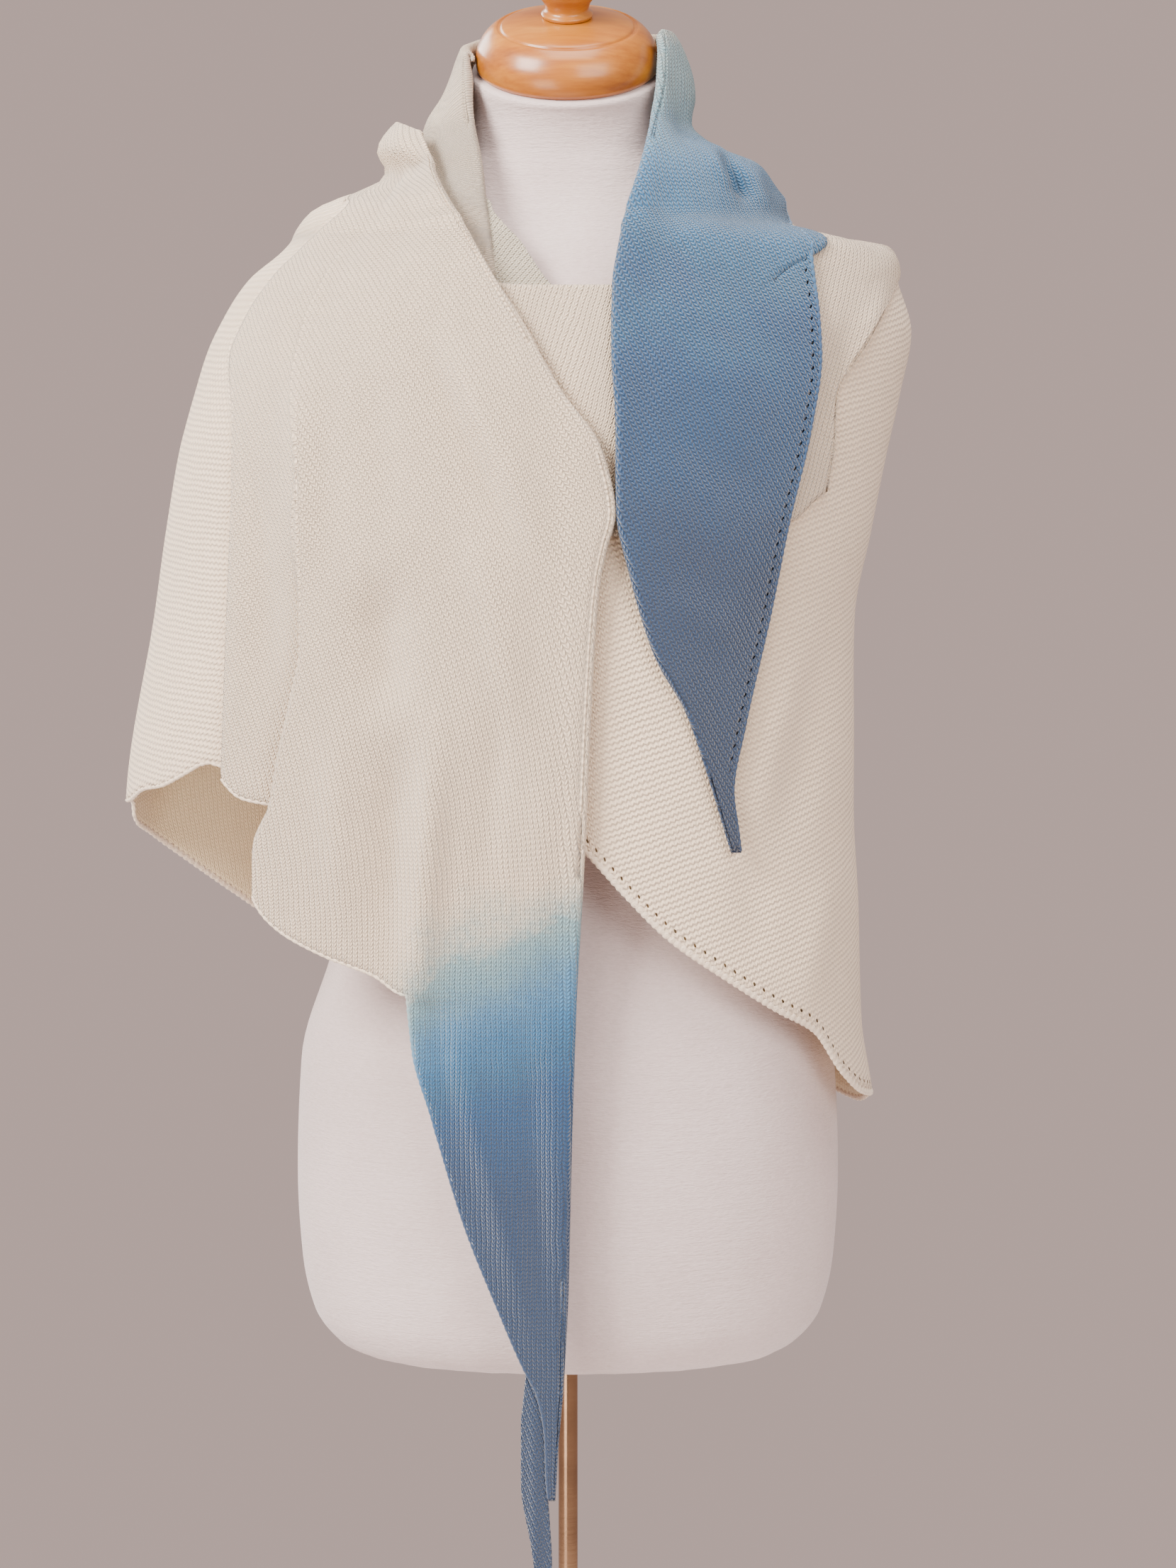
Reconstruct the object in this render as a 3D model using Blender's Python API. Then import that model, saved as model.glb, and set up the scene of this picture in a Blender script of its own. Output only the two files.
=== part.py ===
"""A long knitted wrap, wound one and a half times round a dress form on its stand.

Units: tables are in millimetres, objects in metres. +Z is up and the form faces -Y.
Heights in the tables are measured from the underside of the form, which is FORM_LIFT above the floor.
The cloth lies on a drape surface, one section for each height. A place on it is a turn in degrees,
0 at the front and 90 at +X, and a height. Outlines are written as they are seen from the front, on
the plane through the form's centre, and are moved along the line of sight on to the surface.
"""

import math

import bpy
import numpy as np
from mathutils import Matrix, Vector

# Driving sizes, in millimetres and degrees
FORM_LIFT = 500.0
VIEW_DISTANCE = 2300.0
VIEW_HEIGHT = 600.0
VIEW_CENTRE = (13.0, 378.0)
KNIT_WALL = 2.2
SEAM_TURN = 0.12
SEAM_DROP = 0.6
FRONT_SEAM = 650.0
SHOULDER_TURN = 92.0
CURL = 3.0
ROUNDNESS = 2.3
TURN_LENGTH = 2.6

NECK_TILT = 25.0
NECK_TOP = (0.0, -8.0, 828.5)
NECK_RADIUS = 59.0
POLE_RADIUS = 6.3
SOCKET_RADIUS = 6.7
SOCKET_DEPTH = 60.0
BASE_RADIUS = 140.0
REST_GAP = 0.3

# The drape surface: height, reach to -X and to +X as seen, reach to the front, reach to the back
DRAPE = (
    (866, 56, 58, 48, 66),
    (850, 66, 70, 54, 73),
    (825, 77, 79, 62, 81),
    (800, 90, 82, 68, 86),
    (789, 95, 94, 71, 89),
    (777, 103, 110, 74, 92),
    (767, 109, 120, 77, 95),
    (751, 138, 129, 82, 100),
    (740, 161, 138, 86, 102),
    (733, 167, 159, 88, 103),
    (724, 172, 184, 91, 105),
    (716, 180, 202, 93, 107),
    (697, 202, 209, 99, 110),
    (668, 218, 219, 108, 114),
    (630, 232, 212, 117, 117),
    (590, 245, 203, 122, 118),
    (540, 255, 193, 125, 116),
    (487, 263, 183, 126, 113),
    (370, 281, 182, 124, 112),
    (300, 283, 185, 122, 114),
    (230, 270, 187, 121, 117),
    (170, 230, 195, 121, 120),
    (-200, 230, 195, 121, 120),
)

# The form: height and half width as seen, reach to the front, reach to the back
FORM = (
    (15.5, 118, 62, 64),
    (18.5, 133, 76, 76),
    (28, 149, 90, 90),
    (45, 160, 98, 98),
    (80, 168, 102, 102),
    (130, 171, 104, 104),
    (205, 169, 102, 102),
    (265, 152, 95, 95),
    (330, 133, 87, 88),
    (400, 122, 86, 84),
    (470, 131, 93, 88),
    (540, 146, 106, 96),
    (600, 157, 112, 104),
    (650, 176, 102, 108),
    (690, 201, 86, 102),
    (704, 198.5, 78, 96),
    (714, 189.6, 72, 90),
    (726, 164, 65, 80),
    (742, 124, 58, 69),
    (760, 86, 54, 61),
    (785, 62, 53, 56),
)

# Edges as seen from the front: sideways from the form's centre, height
INNER_EDGE_TOP = ((-96, 798), (-84, 766), (-66, 735), (-45, 699), (-29, 674))
INNER_EDGE = (
    (-5, 631), (21, 593), (30, 550), (26, 535), (20, 506), (14, 420), (11, 349), (5, 244),
)
RIDGE_AND_FOLD = (
    (-171, 560), (-172, 462), (-177, 438), (-188, 389), (-193, 361), (-203, 337), (-203, 307),
)
FRONT_HEM = ((-197, 297), (-186, 285), (-157, 268), (-125, 255), (-104, 243))
SIDE_EDGE = ((-215, 601), (-219, 496), (-223, 382))
SIDE_HEM = ((-209, 369),)
SIDE_HIDDEN = ((-171.9, 560), (-172.2, 535), (-168, 495), (-164, 462), (-172, 410), (-180, 359))
ARM_HEM = ((-281, 368), (-273, 375), (-261, 377), (-247, 384), (-230, 392))
ARM_HIDDEN = ((-207, 550), (-209, 480), (-212, 410))
CHEST_HIDDEN = ((-52, 690), (-20, 600), (4, 550), (-4, 450), (-12, 350))
CHEST_TOP = ((29, 688), (100, 696), (150, 698), (185, 697))
CHEST_HEM = (
    (11, 336), (35, 310), (66, 279), (99, 256), (134, 234), (160, 219), (177, 193), (188, 182),
)
FLAP_FOLD = ((-52, 700), (-25, 698), (29, 698), (75, 712), (115, 728))
FLAP_LEFT = ((-52, 700), (-10, 610), (14, 540))
FLAP_RIGHT = ((206, 692), (193, 664), (174, 627), (171, 595), (167, 567))
FLAP_EDGE = ((26, 537), (90, 538), (144, 547), (158, 560))
POINT_LEFT = (
    (55, 862), (57, 841), (61, 834), (57, 814), (45, 772), (34, 722), (29, 665), (32, 607), (32, 556),
    (41, 512), (57, 460), (77, 424), (91, 383), (105, 334),
)
POINT_RIGHT = (
    (150, 729), (156, 715), (161, 673), (162, 653), (156, 609), (141, 544), (130, 489), (113, 413),
    (106, 373), (109, 350), (111, 334),
)
COLLAR_FOLD = (
    (-58, 852), (-59, 834), (-61, 814), (-58, 795), (-51, 754), (-48, 719), (-46, 703),
)
NECK_FOLD_LEFT = ((-54, 756), (-50, 725), (-44, 694))
NECK_FOLD_RIGHT = ((-49, 751), (-30, 726), (-6, 694))
TAIL_LEFT = (
    (-103, 242.6), (-85, 157), (-66, 95), (-44, 40), (-26, -1), (-20, -12), (-14, -42), (-13, -70), (-12, -82),
)
TAIL_RIGHT = ((5, 243.4), (3, 172), (0, 66), (-3, 0), (-7, -49), (-9, -82))
BACK_PLY_LEFT = ((-26, 8), (-28, -12), (-30, -34), (-30, -70), (-23, -112), (-16, -176))
BACK_PLY_RIGHT = ((-6, 8), (-12, -12), (-14, -34), (-13, -70), (-10, -125), (-12, -176))

# Folds: start and end as seen, half width, rise off the surface
FRONT_FOLDS = (
    (-97, 670, -32, 526, 17, -6),
    (-80, 664, -16, 530, 13, 4),
    (-171, 650, -171, 512, 13, 6),
    (-200, 600, -192, 430, 15, -5),
    (-123, 505, -118, 420, 26, -10),
    (-84, 359, -98, 240, 18, 7),
)


def smooth(knots, values, at):
    """Cubic through the knots with slopes that never overshoot; knots rise."""
    knots = np.asarray(knots, float)
    values = np.asarray(values, float)
    at = np.clip(np.asarray(at, float), knots[0], knots[-1])
    gaps = np.diff(knots)
    chords = np.diff(values) / gaps
    slopes = np.empty_like(values)
    slopes[0] = chords[0]
    slopes[-1] = chords[-1]
    same = chords[:-1] * chords[1:] > 0
    before = 2 * gaps[1:] + gaps[:-1]
    after = gaps[1:] + 2 * gaps[:-1]
    safe = np.where(same, chords[:-1] * chords[1:], 1.0)
    mean = (before + after) * safe / np.where(same, before * chords[1:] + after * chords[:-1], 1.0)
    slopes[1:-1] = np.where(same, mean, 0.0)
    index = np.clip(np.searchsorted(knots, at, side="right") - 1, 0, len(gaps) - 1)
    width = gaps[index]
    t = (at - knots[index]) / width
    rise = values[index + 1] - values[index]
    cubic = width * (slopes[index] + slopes[index + 1]) - 2 * rise
    square = 3 * rise - width * (2 * slopes[index] + slopes[index + 1])
    return values[index] + t * (width * slopes[index] + t * (square + t * cubic))


VIEW_PITCH = math.atan2(VIEW_HEIGHT - VIEW_CENTRE[1], VIEW_DISTANCE)
VIEW_REACH = VIEW_DISTANCE / math.cos(VIEW_PITCH)


def as_seen(points):
    """Where a point shows on the plane through the form's centre: sideways, height."""
    along = points[..., 1] + VIEW_DISTANCE
    up = points[..., 2] - VIEW_HEIGHT
    away = along * math.cos(VIEW_PITCH) - up * math.sin(VIEW_PITCH)
    rise = along * math.sin(VIEW_PITCH) + up * math.cos(VIEW_PITCH)
    x = VIEW_CENTRE[0] + (points[..., 0] - VIEW_CENTRE[0]) * VIEW_REACH / away
    return x, VIEW_CENTRE[1] + rise * VIEW_REACH / away


def on_centre_plane(x, height):
    """The true place, on the plane through the form's centre, of what shows at (x, height)."""
    true_x = float(x)
    true_height = float(height)
    for _ in range(8):
        seen_x, seen_height = as_seen(np.array([true_x, 0.0, true_height]))
        true_x += x - seen_x
        true_height += height - seen_height
    return true_x, true_height


def true_row(height, left, right, front, back):
    """A drape or form section with its seen height and sideways reaches made true."""
    true_left, true_height = on_centre_plane(-left, height)
    true_right, _ = on_centre_plane(right, height)
    return true_height, -true_left, true_right, front, back


DRAPE_COLUMNS = np.array([true_row(*row) for row in DRAPE[::-1]]).T


def drape_point(turn, height):
    """A point of the drape surface: a rounded section with its own reach on each of four sides."""
    turn = np.radians(turn)
    left, right, front, back = (smooth(DRAPE_COLUMNS[0], column, height) for column in DRAPE_COLUMNS[1:])
    sine = np.sin(turn)
    cosine = np.cos(turn)
    across = np.where(sine < 0, left, right) * np.abs(sine) ** (2 / ROUNDNESS) * np.sign(sine)
    along = np.where(cosine < 0, back, front) * np.abs(cosine) ** (2 / ROUNDNESS) * np.sign(cosine)
    return np.stack([across, -along, np.asarray(height, float) + 0 * across], axis=-1)


def lifted(turn, height, lift):
    """The drape surface moved outwards by lift along its own normal."""
    turn = np.asarray(turn, float)
    height = np.asarray(height, float)
    step_turn = 1.0
    step_height = 2.0
    sideways = drape_point(turn + step_turn, height) - drape_point(turn - step_turn, height)
    upwards = drape_point(turn, height + step_height) - drape_point(turn, height - step_height)
    normal = np.cross(sideways, upwards)
    normal /= np.linalg.norm(normal, axis=-1, keepdims=True)
    return drape_point(turn, height) + normal * np.asarray(lift, float)[..., None]


def place(x, height, lift=0.0, behind=False):
    """The turn and height of the surface point that shows at (x, height) from the front."""
    try_x = float(x)
    try_height = float(height)
    turn = 0.0
    for _ in range(40):
        side = DRAPE_COLUMNS[1] if try_x < 0 else DRAPE_COLUMNS[2]
        reach = float(smooth(DRAPE_COLUMNS[0], side, try_height))
        share = min(abs(try_x) / reach, 1.0)
        turn = math.copysign(math.degrees(math.asin(share ** (ROUNDNESS / 2))), try_x)
        if behind:
            turn = math.copysign(180.0, try_x) - turn
        seen_x, seen_height = as_seen(lifted(turn, try_height, lift))
        try_x += 0.5 * (x - float(seen_x))
        try_height += 0.5 * (height - float(seen_height))
    return turn, try_height


def placed(line, lift=0.0, behind=False):
    return [place(x, height, lift, behind) for x, height in line]


def on_seam(x, drop=0.0):
    """The same for a place on the level seam between the shoulder and the layers below it."""
    return place(x, FRONT_SEAM, 10.0)[0], FRONT_SEAM - drop


def spread(points, count):
    """Count points, evenly spaced along a smooth line through the given ones."""
    points = np.asarray(points, float)
    steps = np.diff(points, axis=0) * (TURN_LENGTH, 1.0)
    run = np.concatenate([[0.0], np.cumsum(np.hypot(steps[:, 0], steps[:, 1]))])
    at = np.linspace(0.0, run[-1], count)
    return np.stack([smooth(run, points[:, 0], at), smooth(run, points[:, 1], at)], axis=-1)


def fold_rise(x, height, folds):
    """Soft ridges and troughs along lines, fading towards both ends."""
    rise = np.zeros_like(x)
    for x0, h0, x1, h1, half_width, depth in folds:
        run = np.array([x1 - x0, h1 - h0], float)
        length = np.hypot(*run)
        along = ((x - x0) * run[0] + (height - h0) * run[1]) / length ** 2
        off = ((x - x0) * run[1] - (height - h0) * run[0]) / length
        fade = np.clip(1.25 - np.abs(2 * along - 1), 0.0, 1.0)
        rise += depth * np.exp(-(off / half_width) ** 2) * fade * fade * (3 - 2 * fade)
    return rise


def panel(left, right, top, bottom, lifts, rows, columns, folds=()):
    """A grid of points between four edges of (turn, height), raised off the drape surface.

    Turns rise from left to right. Each row of lifts is height, then the rise at left, middle, right.
    """
    down_left = spread(left, rows)[:, None]
    down_right = spread(right, rows)[:, None]
    along_top = spread([left[0], *top, right[0]], columns)[None]
    along_bottom = spread([left[-1], *bottom, right[-1]], columns)[None]
    u = np.linspace(0.0, 1.0, columns)[None, :, None]
    v = np.linspace(0.0, 1.0, rows)[:, None, None]
    between_sides = (1 - u) * down_left + u * down_right
    between_ends = (1 - v) * along_top + v * along_bottom
    corners = (1 - v) * ((1 - u) * along_top[:, :1] + u * along_top[:, -1:])
    corners = corners + v * ((1 - u) * along_bottom[:, :1] + u * along_bottom[:, -1:])
    flat = between_sides + between_ends - corners
    turn = flat[..., 0]
    height = flat[..., 1]
    table = np.array(sorted(lifts), float).T
    at_left, at_middle, at_right = (smooth(table[0], column, height) for column in table[1:])
    u = u[..., 0]
    near_left = np.clip(1 - 2 * u, 0, 1)
    near_right = np.clip(2 * u - 1, 0, 1)
    near_left = near_left * near_left * (3 - 2 * near_left)
    near_right = near_right * near_right * (3 - 2 * near_right)
    lift = at_middle + near_left * (at_left - at_middle) + near_right * (at_right - at_middle)
    if folds:
        seen_x, seen_height = as_seen(lifted(turn, height, lift))
        lift = lift + fold_rise(seen_x, seen_height, folds)
    return lifted(turn, height, lift)


def grid_normals(grid):
    """Unit normals of a grid, outwards when turns rise along a row and heights fall down a column."""
    down = np.gradient(grid, axis=0)
    across = np.gradient(grid, axis=1)
    normals = np.cross(down, across)
    return normals / np.linalg.norm(normals, axis=-1, keepdims=True)


def curl_right(grid, radius=CURL, tuck=9.0, steps=4):
    """Roll the last column under: a half round of the given radius, then a short tuck."""
    normals = grid_normals(grid)[:, -1]
    outwards = grid[:, -1] - grid[:, -2]
    outwards /= np.linalg.norm(outwards, axis=-1, keepdims=True)
    start = grid[:, -1] - outwards * radius
    columns = [grid[:, :-1], start[:, None]]
    for step in range(1, steps + 1):
        angle = math.pi * step / steps
        round_point = start + outwards * radius * math.sin(angle) - normals * radius * (1 - math.cos(angle))
        columns.append(round_point[:, None])
    columns.append((start - normals * 2 * radius - outwards * tuck)[:, None])
    return np.concatenate(columns, axis=1)


def curl_left(grid, radius=CURL, tuck=9.0, steps=4):
    """The same at the first column, worked on the mirrored grid."""
    mirrored = grid[:, ::-1] * (-1, 1, 1)
    return curl_right(mirrored, radius, tuck, steps)[:, ::-1] * (-1, 1, 1)


def curl_top(grid, radius=CURL, tuck=4.0, steps=4):
    """The same at the first row."""
    turned = np.swapaxes(grid, 0, 1)[:, ::-1]
    return np.swapaxes(curl_right(turned, radius, tuck, steps)[:, ::-1], 0, 1)


def material(name, colour, roughness, metallic=0.0):
    made = bpy.data.materials.new(name)
    made.use_nodes = True
    shader = made.node_tree.nodes["Principled BSDF"]
    shader.inputs["Base Color"].default_value = (*colour, 1.0)
    shader.inputs["Roughness"].default_value = roughness
    shader.inputs["Metallic"].default_value = metallic
    return made


def add_object(name, points, faces, finish, smooth_angle=50.0):
    """A mesh object from points in millimetres above the form's underside."""
    in_metres = (np.asarray(points, float) + (0.0, 0.0, FORM_LIFT)) / 1000.0
    mesh = bpy.data.meshes.new(name)
    mesh.from_pydata(in_metres.tolist(), [], faces)
    mesh.shade_smooth()
    mesh.set_sharp_from_angle(angle=math.radians(smooth_angle))
    mesh.materials.append(finish)
    made = bpy.data.objects.new(name, mesh)
    bpy.context.collection.objects.link(made)
    return made


def knit_wall(name, grid, finish, thickness=KNIT_WALL):
    """A closed wall round a grid: an outer skin, an inner skin and four rims."""
    rows, columns = grid.shape[:2]
    offset = grid_normals(grid) * thickness / 2
    points = np.concatenate([(grid + offset).reshape(-1, 3), (grid - offset).reshape(-1, 3)])
    size = rows * columns
    faces = []
    for row in range(rows - 1):
        for column in range(columns - 1):
            a = row * columns + column
            b = a + 1
            c = b + columns
            d = a + columns
            faces.append((a, d, c, b))
            faces.append((size + a, size + b, size + c, size + d))
    border = [column for column in range(columns)]
    border += [row * columns + columns - 1 for row in range(1, rows)]
    border += [(rows - 1) * columns + column for column in range(columns - 2, -1, -1)]
    border += [row * columns for row in range(rows - 2, 0, -1)]
    for a, b in zip(border, border[1:] + border[:1]):
        faces.append((a, b, size + b, size + a))
    return add_object(name, points, faces, finish)


def loft(name, rings, finish, smooth_angle=50.0):
    """A closed solid through rings of equal count, bottom ring first, counterclockwise from above."""
    count = len(rings[0])
    points = np.concatenate(rings)
    faces = [tuple(reversed(range(count)))]
    for ring in range(len(rings) - 1):
        for step in range(count):
            a = ring * count + step
            b = ring * count + (step + 1) % count
            faces.append((a, b, b + count, a + count))
    last = (len(rings) - 1) * count
    faces.append(tuple(range(last, last + count)))
    return add_object(name, points, faces, finish, smooth_angle)


def ring(height, half_width, front, back, count=32, roundness=2.0, tilt=0.0, centre=(0.0, 0.0)):
    """One section of the form, tipped forward by tilt about its own side-to-side line."""
    angles = np.linspace(0.0, 2 * math.pi, count, endpoint=False)
    sine = np.sin(angles)
    cosine = np.cos(angles)
    across = half_width * np.sign(cosine) * np.abs(cosine) ** (2 / roundness)
    along = np.where(sine < 0, front, back) * np.sign(sine) * np.abs(sine) ** (2 / roundness)
    tip = math.radians(tilt)
    return np.stack([
        across + centre[0],
        along * math.cos(tip) + centre[1],
        height + along * math.sin(tip),
    ], axis=-1)


def turned(name, profile, finish, count=32, smooth_angle=35.0):
    """A lathe-turned solid from radius and height pairs, bottom to top, axis on Z."""
    rings = []
    for radius, height in profile:
        rings.append(ring(height, radius, radius, radius, count))
    return loft(name, rings, finish, smooth_angle)


def tip_to_neck(made):
    """Move a turned piece from the underside's centre to the tilted top of the neck."""
    x, y, height = NECK_TOP
    top = Vector((x, y, height + FORM_LIFT)) / 1000.0
    from_origin = Matrix.Translation((0.0, 0.0, -FORM_LIFT / 1000.0))
    tilt = Matrix.Rotation(math.radians(NECK_TILT), 4, "X")
    made.data.transform(Matrix.Translation(top) @ tilt @ from_origin)


def build_form():
    jersey = material("form_jersey", (0.73, 0.65, 0.61), 0.85)
    underside = true_row(*FORM[0][:2], *FORM[0][1:])[0]
    socket = [
        ring(SOCKET_DEPTH, *(SOCKET_RADIUS,) * 3),
        ring(underside, *(SOCKET_RADIUS,) * 3),
    ]
    body = []
    for height, half_width, front, back in FORM:
        true_height, left, right, _, _ = true_row(height, half_width, half_width, front, back)
        body.append(ring(true_height, (left + right) / 2, front, back, roundness=2.2))
    x, y, top = NECK_TOP
    neck = [
        ring(808, 58, 55, 56, tilt=NECK_TILT * 0.45, centre=(x, y * 0.6)),
        ring(top, *(NECK_RADIUS,) * 3, tilt=NECK_TILT, centre=(x, y)),
    ]
    loft("form_body", socket + body + neck, jersey)


def build_cap():
    lacquered = material("cap_wood", (0.55, 0.27, 0.09), 0.22)
    profile = (
        (54.5, REST_GAP), (57.0, 3), (57.5, 8), (56.5, 14), (53, 21), (48.5, 26), (44.5, 28.6),
        (43.2, 28.0), (42.2, 28.0), (41.2, 29.4), (35, 31.6), (26, 33.6), (17, 35),
    )
    tip_to_neck(turned("neck_cap", profile, lacquered))
    knob = material("finial_wood", (0.55, 0.27, 0.09), 0.22)
    foot = 35 + REST_GAP
    profile = (
        (15.5, foot), (16.2, foot + 2), (13.5, foot + 5), (14.5, foot + 9), (19, foot + 15),
        (24, foot + 24), (26, foot + 34), (25, foot + 43), (20, foot + 52), (12, foot + 58), (4, foot + 60),
    )
    tip_to_neck(turned("finial", profile, knob, count=24))


def build_stand():
    bronze = material("pole_bronze", (0.42, 0.26, 0.18), 0.25, 1.0)
    floor = -FORM_LIFT
    boss = floor + 22
    profile = (
        (POLE_RADIUS, boss + REST_GAP), (POLE_RADIUS, SOCKET_DEPTH - REST_GAP),
    )
    turned("pole", profile, bronze, count=24)
    plate = material("base_bronze", (0.42, 0.26, 0.18), 0.3, 1.0)
    profile = (
        (BASE_RADIUS - 2, floor), (BASE_RADIUS, floor + 2), (BASE_RADIUS, floor + 5),
        (BASE_RADIUS - 4, floor + 8), (60, floor + 11), (20, floor + 14), (13, floor + 17), (12, boss),
    )
    turned("base", profile, plate, count=40)


def build_back():
    """Across the back from the wearer's left side, under the hem line that shows at both sides."""
    cream = material("knit_back", (0.70, 0.62, 0.49), 0.9)
    hem_left = [place(x, h, 0.0, True) for x, h in ((-277, 357), (-250, 337), (-214, 312), (-190, 294))]
    hem_left = [(turn + 360 if turn < 0 else turn, height) for turn, height in hem_left]
    right = [(261, 798), (261.4, 775), (261.5, 740), (261.7, 650), (262, 500), (262, 362)]
    seam = SHOULDER_TURN + 2 * SEAM_TURN
    left = [(seam, height) for height in (737, 722, 700, 600, 400, 178)]
    top = [(120, 746), (150, 753), (180, 760), (215, 768), (240, 782)]
    bottom = [(105, 168), (135, 178), (180, 226), *hem_left[::-1]]
    lifts = (
        (800, 5, 4, 15), (789, 5, 4, 25), (767, 5, 2, 12), (725, 5, 0, 8), (705, 5, 0, 8),
        (670, 0, 0, 8), (650, 0, 0, 8),
        (560, 0, 0, 4), (480, 0, 0, 0), (160, 0, 0, 0),
    )
    knit_wall("back_panel", panel(left, right, top, bottom, lifts, 15, 22), cream)


def build_chest():
    """The under layer across the chest and round the wearer's left side, and its turned-down top."""
    cream = material("knit_chest", (0.72, 0.64, 0.50), 0.9)
    left = placed(CHEST_HIDDEN)
    right = [(SHOULDER_TURN, height) for height in (695, 600, 400, 178)]
    lifts = ((730, 0, 0, 0), (150, 0, 0, 0))
    grid = panel(left, right, placed(CHEST_TOP), placed(CHEST_HEM), lifts, 15, 14)
    knit_wall("chest_layer", grid, cream)

    flap = material("knit_flap", (0.74, 0.66, 0.52), 0.9)
    lift = 5.0
    rest = KNIT_WALL + 0.8
    left = placed(FLAP_LEFT, lift)
    right = [(SHOULDER_TURN, 737), (SHOULDER_TURN, 722), (SHOULDER_TURN, 708)] + placed(FLAP_RIGHT, lift)
    lifts = ((760, lift, lift, lift), (620, lift, lift, lift), (560, rest, rest, rest), (520, rest, rest, rest))
    grid = panel(left, right, placed(FLAP_FOLD[1:], lift), placed(FLAP_EDGE, rest), lifts, 11, 16)
    knit_wall("chest_flap", grid, flap)


def build_front():
    """The wearer's right side: shoulder, large front layer and the two folds beside it."""
    cream = material("knit_shoulder", (0.72, 0.64, 0.50), 0.9)
    right = placed(INNER_EDGE_TOP, 12.0) + [on_seam(-16)]
    left = [(-98 + 2 * SEAM_TURN, height) for height in (798, 775, 740, 700, FRONT_SEAM)]
    lifts = (
        (800, 15, 15, 13), (789, 25, 20, 13), (767, 12, 13, 12), (725, 8, 12, 15), (650, 8, 10, 15),
    )
    bottom = [on_seam(x) for x in (-213, -171, -100)]
    grid = panel(left, right, (), bottom, lifts, 13, 14, FRONT_FOLDS)
    knit_wall("shoulder_layer", curl_right(grid), cream)

    cream = material("knit_front", (0.74, 0.66, 0.52), 0.9)
    left = [on_seam(-171, SEAM_DROP)] + placed(RIDGE_AND_FOLD, 12.0)
    right = [on_seam(-16, 3 * SEAM_DROP)] + placed(INNER_EDGE, 12.0)
    lifts = (
        (660, 9, 11, 15), (540, 9, 11, 15), (500, 11, 11, 13), (460, 14, 12, 12), (400, 16, 13, 12),
        (200, 16, 13, 12),
    )
    top = [on_seam(-100, SEAM_DROP)]
    bottom = placed(FRONT_HEM, 14.0)
    grid = panel(left, right, top, bottom, lifts, 19, 14, FRONT_FOLDS)
    knit_wall("front_layer", curl_right(grid), cream)

    cream = material("knit_side", (0.72, 0.64, 0.50), 0.9)
    left = [on_seam(-213, SEAM_DROP)] + placed(SIDE_EDGE, 9.0)
    right = [on_seam(-171.8, SEAM_DROP)] + placed(SIDE_HIDDEN, 8.0)
    lifts = ((660, 9, 9, 9), (540, 9, 8.5, 9), (500, 9, 7, 5), (460, 9, 7, 4), (350, 9, 6, 4))
    grid = panel(left, right, (), placed(SIDE_HEM, 7.0), lifts, 11, 6, FRONT_FOLDS)
    knit_wall("side_fold", grid, cream)

    cream = material("knit_arm", (0.68, 0.60, 0.47), 0.9)
    left = [(-98 + 2 * SEAM_TURN, height) for height in (FRONT_SEAM - SEAM_DROP, 500, 362)]
    right = [on_seam(-203, SEAM_DROP)] + placed(ARM_HIDDEN, 2.0)
    lifts = ((660, 8, 8, 4), (560, 4, 4, 2), (480, 0, 1, 0), (340, 0, 0, 0))
    grid = panel(left, right, (), placed(ARM_HEM), lifts, 12, 9)
    knit_wall("arm_fold", grid, cream)


def build_point():
    """The blue end on the wearer's left front, from the collar down to its tip."""
    blue = material("knit_blue", (0.10, 0.24, 0.38), 0.9)
    left = placed(POINT_LEFT[:4], 3.0) + placed(POINT_LEFT[4:], 13.0)
    right = [(92, 850), (92, 825), (92, 800), (92, 777), (90, 751)] + placed(POINT_RIGHT, 11.0)
    lifts = (
        (866, 2, 2, 2), (800, 4, 4, 2), (777, 10, 10, 10), (740, 14, 12, 11), (560, 15, 12, 11),
        (480, 12, 9, 8), (350, 8, 8, 8), (300, 8, 8, 8),
    )
    grid = panel(left, right, (), (), lifts, 24, 8)
    knit_wall("blue_point", curl_left(grid, 2.6, 6.0), blue)


def build_collar():
    """The wrap standing up behind the neck, and its end coming down inside the shoulder layer."""
    aqua = material("knit_collar", (0.60, 0.58, 0.50), 0.9)
    left = [(92 + 2 * SEAM_TURN, height) for height in (850, 800, 760)]
    right = [(267, 852), (267, 800), (267, 748)]
    lifts = ((866, 2, 0, 0), (800, 2, 0, 0), (777, 10, -4, -2), (748, 8, -9, -8), (740, 8, -9, -8))
    top = [(135, 856), (180, 858), (225, 856)]
    knit_wall("neck_collar", panel(left, right, top, [(180, 748)], lifts, 8, 20), aqua)

    cream = material("knit_inner", (0.70, 0.62, 0.49), 0.9)
    left = [(-93 + 2 * SEAM_TURN, height) for height in (852, 800, 748)]
    right = placed(COLLAR_FOLD)
    lifts = ((866, 0, 0, 0), (800, 0, 0, 0), (777, -2, 0, 0), (748, -6, 0, 0), (700, -6, 0, 0))
    grid = panel(left, right, (), placed(((-100, 725),)), lifts, 12, 7)
    knit_wall("inner_collar", grid, cream)

    cream = material("knit_neck_fold", (0.50, 0.42, 0.31), 0.9)
    left = placed(NECK_FOLD_LEFT, -4.0)
    right = placed(NECK_FOLD_RIGHT, -4.0)
    knit_wall("neck_fold", panel(left, right, (), (), ((760, -4, -4, -4), (690, -4, -4, -4)), 6, 5), cream)


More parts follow.
